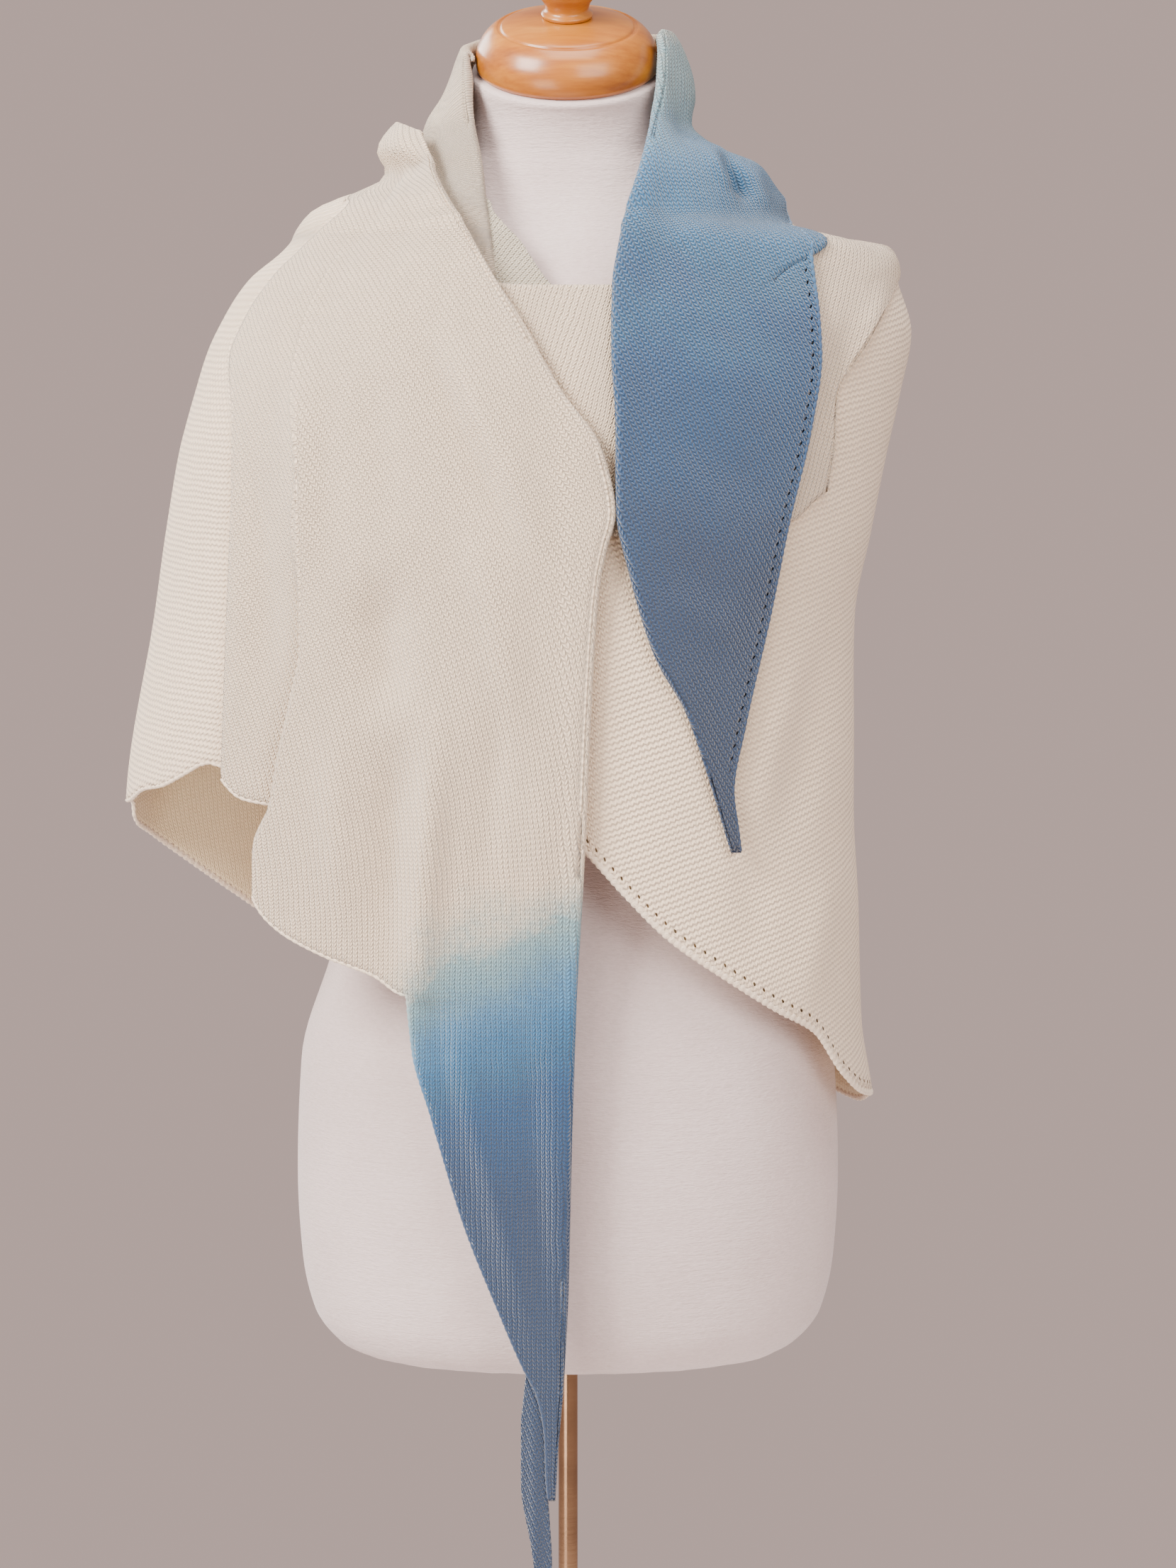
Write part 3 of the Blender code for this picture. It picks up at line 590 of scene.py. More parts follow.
def block(points, stitch, rim, dye):
    """What a grid of cloth carries: its points, stitch places, places from the edge, and depth of dye."""
    return {"points": points, "stitch": stitch, "rim": rim, "dye": dye + 0 * points[..., 0]}


def split(piece, columns):
    """Some columns of a block."""
    return {key: value[:, columns] for key, value in piece.items()}


def stacked(upper, lower):
    """Two blocks as one, the lower one's first row being the upper one's last."""
    return {key: np.concatenate([upper[key], lower[key][1:]], axis=0) for key in upper}


def leaning(places, lean, centre, axis=1, turned=0.0):
    """Stitch places whose courses rise to the right by an angle that changes slowly along one axis.

    Along that axis (0 across, 1 up) the angle's sine and cosine are summed, and across it they multiply the
    distance from the centre, so stitches keep their size near the centre line.
    """
    stitch = on_cloth(places[..., 0] - turned, places[..., 1])
    knots, angles = np.array(lean, float).T
    fine = np.linspace(knots[0], knots[-1], 600)
    angle = np.radians(smooth(knots, angles, fine))
    at = stitch[..., axis]
    sines = np.interp(at, fine, np.cumsum(np.sin(angle)) * (fine[1] - fine[0]))
    cosines = np.interp(at, fine, np.cumsum(np.cos(angle)) * (fine[1] - fine[0]))
    here = np.interp(at, fine, angle)
    off = stitch[..., 1 - axis] - centre
    if axis == 1:
        return np.stack([off * np.cos(here) + sines, cosines - off * np.sin(here)], axis=-1)
    return np.stack([cosines + off * np.sin(here), off * np.cos(here) - sines], axis=-1)


def curl(piece, side, radius=3.0, tuck=9.0, steps=7):
    """Roll an edge of a block under: half a circle, then a short tuck; both sizes may vary along the edge."""
    flip = side in ("left", "top")
    swap = side in ("top", "bottom")
    parts = {key: np.swapaxes(value, 0, 1) if swap else value for key, value in piece.items()}
    parts = {key: value[:, ::-1] if flip else value for key, value in parts.items()}
    points = parts["points"]
    radius = np.broadcast_to(radius, len(points))[:, None]
    tuck = np.broadcast_to(tuck, len(points))[:, None]
    normals = grid_normals(points)[:, -1] * (-1.0 if flip != swap else 1.0)
    outwards = points[:, -1] - points[:, -2]
    outwards /= np.linalg.norm(outwards, axis=-1, keepdims=True)
    start = points[:, -1] - outwards * radius
    rolled = [start]
    runs = [0 * radius]
    for step in range(1, steps + 1):
        angle = math.pi * step / steps
        rolled.append(start + outwards * radius * math.sin(angle) - normals * radius * (1 - math.cos(angle)))
        runs.append(radius * angle)
    rolled.append(start - normals * 2 * radius - outwards * tuck)
    runs.append(radius * math.pi + tuck)
    gap = np.linalg.norm(points[:, -1] - points[:, -2], axis=-1)[:, None]
    steps_off = (np.concatenate(runs, axis=1) - radius) / gap
    made = {"points": np.concatenate([points[:, :-1], np.stack(rolled, axis=1)], axis=1)}
    for key in ("stitch", "rim", "dye"):
        values = parts[key]
        step_values = (values[:, -1] - values[:, -2])[:, None]
        more = values[:, -1:] + step_values * (steps_off[..., None] if values.ndim == 3 else steps_off)
        made[key] = np.concatenate([values[:, :-1], more], axis=1)
    made = {key: value[:, ::-1] if flip else value for key, value in made.items()}
    return {key: np.swapaxes(value, 0, 1) if swap else value for key, value in made.items()}


def knit_sheet(name, blocks, finish):
    """One cloth from blocks that share their border points: merged, then given its thickness both ways."""
    points, stitch, rim, dye, faces = [], [], [], [], []
    count = 0
    for piece in blocks:
        rows, columns = piece["points"].shape[:2]
        points.append(piece["points"].reshape(-1, 3))
        stitch.append(piece["stitch"].reshape(-1, 2))
        rim.append(piece["rim"].reshape(-1, 2))
        dye.append(piece["dye"].reshape(-1))
        a = count + np.arange(rows - 1)[:, None] * columns + np.arange(columns - 1)[None]
        faces.append(np.stack([a, a + columns, a + columns + 1, a + 1], axis=-1).reshape(-1, 4))
        count += rows * columns
    stitch = np.concatenate(stitch) / 1000.0
    rim = np.concatenate(rim) / 1000.0
    faces = np.concatenate(faces)
    made = add_mesh(name, np.concatenate(points), faces.tolist())
    mesh = made.data
    for label, values in (("stitch", stitch), ("rim", rim)):
        layer = mesh.uv_layers.new(name=label)
        layer.data.foreach_set("uv", values[faces.ravel()].astype(np.float32).ravel())
    shade = mesh.attributes.new("dye", "FLOAT", "POINT")
    shade.data.foreach_set("value", np.concatenate(dye).astype(np.float32) / 1000.0)
    work = bmesh.new()
    work.from_mesh(mesh)
    bmesh.ops.remove_doubles(work, verts=work.verts, dist=2e-5)
    work.to_mesh(mesh)
    work.free()
    mesh.shade_smooth()
    mesh.materials.append(finish)
    wall = made.modifiers.new("knit", "SOLIDIFY")
    wall.thickness = KNIT_WALL / 1000.0
    wall.offset = 0.0
    return made


# Stocking stitch, the smooth side: two legs to each loop, leaning together down each wale.
tree, given, result = new_group(
    "stocking_stitch",
    [("Place", VECTOR, None), ("Wale", FLOAT, 0.003), ("Course", FLOAT, 0.0023)],
    [("Height", FLOAT)],
)
axes = put(tree, "ShaderNodeSeparateXYZ", {"Vector": given.outputs["Place"]})
u = calc(tree, "DIVIDE", axes.outputs["X"], given.outputs["Wale"])
v = calc(tree, "DIVIDE", axes.outputs["Y"], given.outputs["Course"])
aside = calc(tree, "ABSOLUTE", calc(tree, "SUBTRACT", calc(tree, "FRACT", u), 0.5))
slant = added(tree, v, (aside, -1.5))
wave = calc(tree, "COSINE", calc(tree, "MULTIPLY", slant, 2 * math.pi))
leg = calc(tree, "ABSOLUTE", calc(tree, "SUBTRACT", aside, 0.21))
leg = calc(tree, "MAXIMUM", added(tree, 1.0, (leg, -3.6)), 0.0)
between = calc(tree, "POWER", calc(tree, "MULTIPLY", aside, 2.0), 4.0)
height = calc(tree, "MULTIPLY", calc(tree, "POWER", leg, 0.6), added(tree, 0.6, (wave, 0.4)))
tree.links.new(added(tree, height, (between, -0.22)), result.inputs["Height"])

# Purl stitch, the wrong side: a round ridge along each course, broken into the tops of its loops.
tree, given, result = new_group(
    "purl_stitch",
    [("Place", VECTOR, None), ("Wale", FLOAT, 0.003), ("Course", FLOAT, 0.0035)],
    [("Height", FLOAT)],
)
axes = put(tree, "ShaderNodeSeparateXYZ", {"Vector": given.outputs["Place"]})
u = calc(tree, "MULTIPLY", calc(tree, "DIVIDE", axes.outputs["X"], given.outputs["Wale"]), 2 * math.pi)
v = calc(tree, "MULTIPLY", calc(tree, "DIVIDE", axes.outputs["Y"], given.outputs["Course"]), 2 * math.pi)
ridge = added(tree, 0.5, (calc(tree, "COSINE", added(tree, v, (calc(tree, "SINE", u), 0.8))), 0.5))
beads = added(tree, 0.86, (calc(tree, "COSINE", calc(tree, "MULTIPLY", u, 2.0)), 0.14))
height = calc(tree, "MULTIPLY", calc(tree, "POWER", ridge, 0.8), beads)
tree.links.new(height, result.inputs["Height"])

# The row of small eyelets beside the chained edge: round holes at even steps along it.
tree, given, result = new_group(
    "eyelet_row",
    [("Rim", VECTOR, None), ("Spacing", FLOAT, 0.0078), ("Inset", FLOAT, 0.0064), ("Radius", FLOAT, 0.0011)],
    [("Cloth", FLOAT), ("Pull", FLOAT)],
)
axes = put(tree, "ShaderNodeSeparateXYZ", {"Vector": given.outputs["Rim"]})
along = calc(tree, "FRACT", calc(tree, "DIVIDE", axes.outputs["X"], given.outputs["Spacing"]))
along = calc(tree, "MULTIPLY", calc(tree, "SUBTRACT", along, 0.5), given.outputs["Spacing"])
inside = calc(tree, "SUBTRACT", axes.outputs["Y"], given.outputs["Inset"])
away = calc(tree, "SQRT", added(tree, 0.0, (along, along), (inside, inside)))
cloth = calc(tree, "GREATER_THAN", away, given.outputs["Radius"])
tree.links.new(cloth, result.inputs["Cloth"])
far = calc(tree, "MULTIPLY", given.outputs["Radius"], 2.6)
pull = put(tree, "ShaderNodeMapRange", {
    "Value": away, "From Min": given.outputs["Radius"], "From Max": far,
}).outputs["Result"]
tree.links.new(pull, result.inputs["Pull"])

# The dip dye: cream, a soft band of aqua, then blue deepening to the tip, with a cloudy, uneven edge.
tree, given, result = new_group(
    "dip_dye", [("Depth", FLOAT, 0.0), ("Place", VECTOR, None), ("Undyed", COLOUR, (0.8, 0.7, 0.6, 1.0))],
    [("Colour", COLOUR)],
)
slow = calc(tree, "SUBTRACT", noise(tree, given.outputs["Place"], 16.0, 2.0), 0.5)
quick = calc(tree, "SUBTRACT", noise(tree, given.outputs["Place"], 240.0, 3.0), 0.5)
depth = added(tree, given.outputs["Depth"], (slow, 0.07), (quick, 0.024))
dyed = ramp(tree, calc(tree, "DIVIDE", depth, 0.6), [
    (0.0, "BFCCC2"), (0.03, "A2BCBA"), (0.075, "82A6B2"), (0.125, "5888AD"),
    (0.16, "41749D"), (0.19, "37658A"), (0.225, "2B537D"), (0.32, "243F62"),
    (0.5, "223A5A"), (0.93, "1C304E"),
])
amount = put(tree, "ShaderNodeMapRange", {
    "Value": depth, "From Min": -0.008, "From Max": 0.03,
}).outputs["Result"]
mixed = put(tree, "ShaderNodeMix", {"Factor": amount}, data_type="RGBA")
tree.links.new(given.outputs["Undyed"], mixed.inputs[6])
tree.links.new(dyed, mixed.inputs[7])
tree.links.new(mixed.outputs[2], result.inputs["Colour"])


def knit_finish(
    name, stitch_group, cream, wale=0.0031, course=0.0025, relief=0.0018, painted_stitch_shade=0.6, eyelets=True,
    dye_shift=0.0,
):
    """Fine wool knit: relief of the stitches with painted shade in the hollows between them, fuzz, dye, and
    the eyelets cut through the cloth.
    """
    finish, tree, shader = new_finish(
        name, Roughness=0.9, Sheen_Weight=0.45, Sheen_Roughness=0.55, Specular_IOR_Level=0.25,
    )
    place = put(tree, "ShaderNodeTexCoord").outputs["Object"]
    stitch = put(tree, "ShaderNodeUVMap", uv_map="stitch").outputs["UV"]
    rim = put(tree, "ShaderNodeUVMap", uv_map="rim").outputs["UV"]
    depth = put(tree, "ShaderNodeAttribute", attribute_name="dye").outputs["Fac"]
    if dye_shift:
        depth = calc(tree, "ADD", depth, dye_shift)
    wander = put(tree, "ShaderNodeTexNoise", {"Vector": place, "Scale": 70.0, "Detail": 2.0}).outputs["Color"]
    for operation, inputs in (
        ("SUBTRACT", {1: (0.5, 0.5, 0.5)}), ("SCALE", {"Scale": 0.0022}), ("ADD", {1: stitch}),
    ):
        step = put(tree, "ShaderNodeVectorMath", {0: wander, **inputs}, operation=operation)
        wander = step.outputs["Vector"]
    loops = use_group(tree, stitch_group, {"Place": wander, "Wale": wale, "Course": course}).outputs["Height"]
    fuzz = noise(tree, place, 1100.0, 4.0, 0.7)
    patches = use_group(tree, "uneven_patches", {"Place": place, "Size": 0.05}).outputs["Patches"]
    dyed = use_group(tree, "dip_dye", {"Depth": depth, "Place": place, "Undyed": tint(cream)})
    # Painted shade: the stitch height darkens the colour in the hollows between the loops; the fuzz and the
    # slow patches add uneven tone.
    shade = added(tree, 0.74 - 0.55 * painted_stitch_shade, (loops, painted_stitch_shade), (fuzz, 0.4), (patches, 0.12))
    dyed = put(tree, "ShaderNodeHueSaturation", {
        "Color": dyed.outputs["Colour"], "Saturation": 1.12, "Value": shade,
    })
    height = added(tree, loops, (fuzz, 0.5))
    if eyelets:
        row = use_group(tree, "eyelet_row", {"Rim": rim})
        tree.links.new(row.outputs["Cloth"], shader.inputs["Alpha"])
        height = added(tree, height, (row.outputs["Pull"], 0.6))
    paint(tree, shader, dyed.outputs["Color"], height, 0.9, relief)
    return finish


ROWS = 112
NO_RIM = 400.0
CHEST_HIDDEN = ((-52, 690), (-20, 600), (4, 550), (-4, 450), (-12, 350))
CHEST_TOP = ((-25, 695), (29, 695), (75, 709), (115, 728))
CHEST_HEM = (
    (11, 336), (35, 310), (66, 279), (99, 256), (134, 234), (160, 219), (177, 193), (188, 182),
)
BACK_TOP = ((120, 756), (150, 758), (180, 762), (215, 769), (240, 779))
BACK_HEM = ((105, 168), (135, 178), (180, 226))
BACK_HEM_SEEN = ((-190, 295), (-214, 310), (-243, 330), (-264, 347), (-277, 361))
ARM_HEM = ((-281, 368), (-273, 375), (-261, 377), (-247, 384), (-230, 392))
SHOULDER_FOLD = (
    (-128, 757), (-160, 728), (-190, 697), (-207, 668), (-213, 650), (-215, 601), (-219, 496),
    (-223, 382),
)
SIDE_HIDDEN = ((-170, 575), (-174, 545), (-170, 500), (-163, 462), (-163, 410), (-168, 362))
SHOULDER_RIDGE = ((-105, 768), (-128, 740), (-150, 705), (-165, 672), (-171, 635))
RIDGE_AND_FOLD = (
    (-171, 560), (-172, 462), (-177, 438), (-188, 389), (-193, 361), (-203, 337), (-203, 307),
)
FRONT_HEM = ((-197, 297), (-186, 285), (-157, 268), (-125, 255), (-104, 243))
INNER_EDGE = (
    (-96, 797), (-91.5, 787), (-84, 766), (-66, 735), (-45, 699), (-29, 674), (-16, 650), (-5, 631),
    (21, 593), (30, 550),
    (26, 535), (20, 506), (14, 420), (11, 349), (5, 244),
)
TAIL_LEFT = (
    (-85, 157), (-66, 95), (-44, 40), (-26, -1), (-20, -12), (-14, -42), (-13, -70), (-12, -82),
)
TAIL_RIGHT = ((3, 172), (0, 66), (-3, 0), (-7, -49), (-9, -82))
# start and end as seen, half width, rise off the surface
FRONT_FOLDS = (
    (-97, 670, -32, 526, 14, -7.5), (-80, 664, -16, 530, 10, 5.5), (-171, 650, -171, 512, 12, 7),
    (-200, 600, -192, 430, 14, -6), (-123, 510, -116, 420, 18, -10.5), (-84, 420, -98, 225, 11, 9),
    (-112, 410, -116, 262, 14, -8), (-60, 545, -30, 420, 12, 4), (-45, 430, -55, 300, 11, -4),
    (-14, 400, -22, 250, 10, 2.5), (-150, 420, -146, 290, 12, 4), (-130, 640, -110, 540, 14, -3),
    (-60, 720, -80, 790, 10, 2), (-95, 760, -130, 690, 12, -2.5),
)
SIDE_FOLDS = (
    (172, 486, 136, 336, 15, -5), (150, 470, 110, 330, 16, 2.5), (60, 500, 90, 360, 18, 2),
    (170, 330, 150, 230, 12, 3), (120, 330, 120, 260, 14, -2),
)
TAIL_FOLDS = (
    (-84, 262, -98, 240, 18, 7), (-80, 240, -22, 20, 9, 3.0), (-30, 250, -14, 30, 9, -2.5),
    (-8, 250, -5, 60, 7, 2.0),
)
# rise of the rolled cloth that stands up as a soft bump over the shoulder
BUMP_LIFTS = (
    (794, 15), (788, 18), (781, 19.5), (774, 20), (769, 18), (765, 13.5), (761, 8), (756, 2.8), (750, 3),
)

chest_left = rib(placed(CHEST_HIDDEN), ((900, 0), (0, 0)), ROWS)
left_side = rib(
    [(SHOULDER_TURN, height) for height in (752, 737, 722, 700, 600, 400, 178)],
    ((752, -1.5), (735, -1.7), (728, -1.7), (720, 0.9), (714, 3.7), (706, 3), (695, 2), (670, 0), (100, 0)),
    ROWS,
)
arm_seam = rib(
    [(ARM_TURN, height) for height in (789, 775, 740, 650, 500, 366)],
    (*BUMP_LIFTS, (740, 4), (725, 4), (712, 1.5), (697, 2), (668, 4), (650, 5), (600, 2.5), (560, 1),
     (480, 0), (300, 0)),
    ROWS,
)
FOLD_TURN = ARM_TURN - 360 + 6.0
RIDGE_TURN = ARM_TURN - 360 + 14.0
BODY_TOP = 789.0
shoulder_lifts = (*BUMP_LIFTS, (740, 5), (725, 6), (705, 4.5), (680, 5), (650, 6.5))


def shifted(line, shifts):
    """The same line moved sideways by amounts that change with height."""
    line = np.array(line, float)
    return line + np.stack([by_height(shifts, line[:, 1]), 0 * line[:, 1]], axis=-1)


def from_top(turn, line):
    """A line begun at the body's top edge."""
    return np.concatenate([[[turn, BODY_TOP]], line])


arm_lifts = (*shoulder_lifts, (600, 5), (560, 3), (480, 1), (300, 0))
fold_lifts = (*shoulder_lifts, (600, 8), (300, 9))
hidden_lifts = (*shoulder_lifts, (540, 8.5), (500, 6), (460, 4.5), (300, 4))
ridge_lifts = (*shoulder_lifts, (540, 10), (500, 12), (460, 14), (400, 16), (100, 16))
inner_lifts = (
    (794, 13), (786, 15), (776, 14), (767, 12), (725, 15), (540, 15), (500, 13), (460, 12), (200, 12),
)
arm_line = shifted(SHOULDER_FOLD, ((800, -4), (650, -5), (615, 0), (540, 11), (470, 15), (300, 16)))
hidden_line = (*shifted(SHOULDER_RIDGE, ((800, -4), (500, -4))), *SIDE_HIDDEN)
ridge_line = (*SHOULDER_RIDGE, *RIDGE_AND_FOLD)
arm_hidden, side_fold, side_hidden, ridge_fold = (
    rib(from_top(turn, placed(line, lifts, fine=4)), lifts, ROWS, turns=360.0) for turn, line, lifts in (
        (FOLD_TURN - 1.5, arm_line, arm_lifts), (FOLD_TURN, SHOULDER_FOLD, fold_lifts),
        (RIDGE_TURN - 1.5, hidden_line, hidden_lifts), (RIDGE_TURN, ridge_line, ridge_lifts),
    )
)
inner_edge = rib(placed(INNER_EDGE, inner_lifts, fine=5), inner_lifts, ROWS, turns=360.0)

seen_hem = placed(BACK_HEM_SEEN, 0.0, behind=True)
seen_hem[:, 0] %= 360.0
chest = panel(chest_left, left_side, placed(CHEST_TOP), placed(CHEST_HEM), ((800, 0), (100, 0)), 60)
back = panel(
    left_side, arm_seam, BACK_TOP, [*BACK_HEM, *seen_hem],
    ((800, 4), (789, 4), (767, 2), (725, 0), (100, 0)), 84,
)
arm = panel(arm_seam, arm_hidden, (), placed(ARM_HEM) + ONE_TURN, None, 22)
under_side = panel(arm_hidden, side_fold, (), (), None, 9)
side_hem = placed(((-209, 369),), 7.0) + ONE_TURN
side = panel(side_fold, side_hidden, (), side_hem, None, 20)
under_front = panel(side_hidden, ridge_fold, (), (), None, 9)
front_hem = placed(FRONT_HEM, 14.0) + ONE_TURN
front = panel(
    ridge_fold, inner_edge, (), front_hem,
    (*BUMP_LIFTS[:5], (762, 9), (755, 7), (740, 9), (725, 11), (650, 10), (540, 11), (460, 12), (400, 13),
     (100, 13)), 74,
)
later = [part[:, 1:] for part in (back, arm, under_side, side, under_front, front)]
places = np.concatenate([chest, *later], axis=1)
front_start = places.shape[1] - front.shape[1]
chest_end = chest.shape[1]


def cloth_points(places, folds):
    """The places on the drape surface, raised by their lift and by the folds as seen from the front."""
    turn, height, lift = np.moveaxis(places, -1, 0)
    points = lifted(turn, height, lift)
    if folds:
        x, seen_height = as_seen(points)
        points = lifted(turn, height, lift + fold_rise(x, seen_height, folds))
    return points


def soft_waves(places, amount):
    """Low, slow unevenness of hanging cloth: a few long sine waves across it, leaning and fading upwards."""
    turn, height = places[..., 0], places[..., 1]
    fade = ease((700.0 - height) / 500.0)
    wave = np.sin(np.radians(5.3 * turn) + height / 160.0)
    wave = wave + 0.7 * np.sin(np.radians(9.1 * turn + 40) - height / 110.0)
    return amount * fade * wave


# Folds that the back shows: hanging from the shoulder blades, deeper towards the hem.
# turn and height at the start, turn and height at the end, half width in degrees, rise
BACK_FOLDS = (
    (118, 650, 125, 170, 9, 9), (140, 540, 134, 170, 8, -5), (160, 700, 152, 190, 10, 12),
    (182, 560, 176, 200, 8, -5), (204, 680, 210, 230, 10, 12), (228, 540, 231, 260, 8, -4),
    (247, 650, 251, 300, 7, 8),
    (128, 740, 165, 600, 9, 4), (222, 748, 190, 610, 9, 4), (175, 752, 178, 640, 14, -2),
)
# millimetres of height that count as one degree of turn in these folds
DEGREE_HEIGHT = 8.0
back_columns = slice(chest_end - 6, chest_end + back.shape[1] + 4)
sector = places[:, back_columns]
squeeze = np.array([1, DEGREE_HEIGHT, 1, DEGREE_HEIGHT, 1, 1])
sector[..., 2] += fold_rise(sector[..., 0], sector[..., 1] / DEGREE_HEIGHT, np.array(BACK_FOLDS) / squeeze)
places[:, chest_end:front_start, 2] += soft_waves(places[:, chest_end:front_start], 1.2)

front_part = places[:, front_start:]
front_points = cloth_points(front_part, FRONT_FOLDS)
rest_points = cloth_points(places[:, :front_start + 1], ())
chest_points = cloth_points(places[:, :chest_end], SIDE_FOLDS)
rest_points[:, :chest_end] = chest_points
side_start = chest_end + back.shape[1] - 1
side_points = cloth_points(places[:, side_start:front_start + 1], FRONT_FOLDS)
share = ease(np.arange(side_points.shape[1]) / 12.0)[None, :, None]
rest_points[:, side_start:] += share * (side_points - rest_points[:, side_start:])
rest_points[:, -1] = front_points[:, 0]
body_points = np.concatenate([rest_points, front_points[:, 1:]], axis=1)


def bell(count, column, reach):
    """A weight for each of a row's columns: 1 at one column, fading both ways."""
    return np.exp(-((np.arange(count) - column) / reach) ** 2)


def soften(points, weights, rounds):
    """Move each point towards the mean of its row's neighbours, by half its column's weight, some rounds."""
    for _ in range(rounds):
        mean = (points[:, :-2] + points[:, 2:]) / 2
        points[:, 1:-1] += 0.5 * weights[None, 1:-1, None] * (mean - points[:, 1:-1])


# The turned edges of the open folds are softened, and so are the joins at both ends of the back.
fold_widths = [part.shape[1] - 1 for part in (arm, under_side, side, under_front)]
count = body_points.shape[1]
weights = [bell(count, column, 1.6) for column in side_start + np.cumsum(fold_widths)]
weights += [0.8 * bell(count, column, 3.0) for column in (chest_end - 1, side_start)]
soften(body_points, np.max(weights, axis=0), 3)

# The tail goes on from the front's last row, between the hem's end and the inner edge.
TAIL_ROWS = 84
tail_start = int(np.argmin(np.abs(front[-1, :, 0] - front_hem[-1, 0])))
tail_top = front[-1, tail_start:, :2]
TAIL_LIFT = 12.0
tail_left, tail_right = (
    edge(
        np.concatenate([first[None], placed(line, TAIL_LIFT, fine=5) + ONE_TURN]),
        ((250, TAIL_LIFT + more), (150, TAIL_LIFT), (-200, TAIL_LIFT)), TAIL_ROWS,
    ) for first, line, more in ((tail_top[0], TAIL_LEFT, 1.5), (tail_top[-1], TAIL_RIGHT, 0.0))
)
tail_middle = ((250, TAIL_LIFT + 1), (150, TAIL_LIFT), (-200, TAIL_LIFT))
tail = panel(tail_left, tail_right, tail_top[1:-1], (), tail_middle, len(tail_top))
tail_points = cloth_points(tail, TAIL_FOLDS)
corner = front_start + tail_start
miss = body_points[-1:, corner:] - tail_points[:1]
tail_points = tail_points + miss * ease(1 - np.arange(TAIL_ROWS) / 24.0)[:, None, None]

# x as seen and the height where the cream ends
DYE_LINE = ((-160, 184), (-112, 246), (-97, 277), (-69, 298), (-23, 313), (20, 325))
# length on the cloth, degrees by which the courses lean there; then the line they lean about
FRONT_LEAN = ((-400, 0), (280, 0), (400, 12), (560, 28), (720, 28), (860, 14), (1400, 14))
FRONT_CENTRE = -110.0
ROUND_LEAN = ((-300, 19), (60, 19), (250, 14), (560, 6), (850, -8), (1500, -8))
ROUND_CENTRE = 420.0


def dye_depth(points):
    """How far a point lies below the line where the dye begins, as seen from the front."""
    x, height = as_seen(points)
    line = np.array(DYE_LINE, float).T
    return smooth(line[0], line[1], x) - height


columns = np.arange(body_points.shape[1])
round_end = chest_end + back.shape[1] + arm.shape[1]
round_stitch = leaning(places, ROUND_LEAN, ROUND_CENTRE, axis=0)
front_stitch = leaning(places, FRONT_LEAN, FRONT_CENTRE, turned=360.0)
body_stitch = np.where((columns < round_end)[None, :, None], round_stitch, front_stitch)
hem_run = run_along(body_points[-1:], 1)[0]
down = run_along(body_points, 0)
up = down[-1:] - down + np.where(columns < side_start, 0, NO_RIM)
body_rim = np.stack([hem_run + 0 * down, up], axis=-1)
body_dye = np.where((columns >= front_start)[None], dye_depth(body_points), -NO_RIM)
body_block = block(body_points, body_stitch, body_rim, body_dye)
roll = 1.2 + 1.4 * ease((columns - side_start + 6) / 24.0) * ease((len(columns) - columns) / 60.0)
body_block = curl(body_block, "top", radius=roll, tuck=roll * 0.9, steps=9)
TOP_ROWS = body_block["points"].shape[0] - ROWS
left_block = split(body_block, slice(corner + 1))
tail_stitch = leaning(tail, FRONT_LEAN, FRONT_CENTRE, turned=360.0)
tail_block = block(tail_points, tail_stitch, NO_RIM + 0 * tail_stitch, dye_depth(tail_points))
right_block = stacked(split(body_block, slice(corner, None)), tail_block)
down_edge = np.arange(len(right_block["points"]))
edge_size = ease((down_edge - TOP_ROWS) / 10.0, 0.25) * ease((len(down_edge) - down_edge) / 30.0, 0.4)
right_block = curl(right_block, "right", radius=3.0 * edge_size, tuck=7.0 * edge_size)

WOOL_CREAM = "FFE8CC"
body_finish = knit_finish("wool_knit_body", "stocking_stitch", WOOL_CREAM)
purl_finish = knit_finish(
    "wool_knit_purl_side", "purl_stitch", WOOL_CREAM, wale=0.0034, course=0.0036, relief=0.0015,
    painted_stitch_shade=0.34,
)
inside_finish = knit_finish(
    "wool_knit_inside", "stocking_stitch", "FFEAC4", relief=0.0004, painted_stitch_shade=0.14, eyelets=False,
)
wrap_body = knit_sheet("wrap_body", [left_block, right_block], body_finish)
# The purl side out as far as the first open fold; the inside of all of it in a plainer finish, its cream
# painted a warmer tan as painted shade.
wrap_body.data.materials.append(purl_finish)
wrap_body.data.materials.append(inside_finish)
wrap_body.modifiers["knit"].material_offset = 1
face_rows, face_columns = (size - 1 for size in left_block["points"].shape[:2])
purl_faces = np.tile(np.arange(face_columns) < round_end, face_rows)
material_index = np.zeros(len(wrap_body.data.polygons), np.int32)
material_index[:len(purl_faces)] = purl_faces
wrap_body.data.polygons.foreach_set("material_index", material_index)
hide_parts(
    "back_panel", "chest_layer", "arm_fold", "side_fold", "shoulder_layer", "front_layer", "tail"
)
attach(wrap_body, "root")

# ==== Wrap: the turned-down top ==============================================
# The upper edge of the under layer, folded outwards over the chest. Its free corner is drawn into a soft
# roll up to the shoulder, and its lower edge lies on the layer below, held only by the blue end over it.
FLAP_FOLD = ((-25, 698), (29, 698), (75, 712), (115, 728))
FLAP_LEFT = ((-52, 700), (-10, 610), (14, 540))
FLAP_RIGHT = ((210, 698), (205, 687), (193, 664), (174, 627), (171, 595), (167, 567))
FLAP_EDGE = ((26, 537), (90, 538), (144, 547), (158, 560))
FLAP_ROWS = 60
FLAP_FOLDS = (
    (185, 690, 155, 590, 9, -2.5), (160, 700, 140, 600, 9, 2.0), (0, 690, 20, 600, 14, 1.5),
    (204, 700, 168, 575, 6, 2.0),
)
flap_lifts = (
    (752, 1.2), (735, 1.0), (728, 1.0), (720, 3.6), (714, 6.4), (706, 5.8), (695, 4.8), (660, 4.2), (620, 4),
    (560, 3), (500, 3),
)
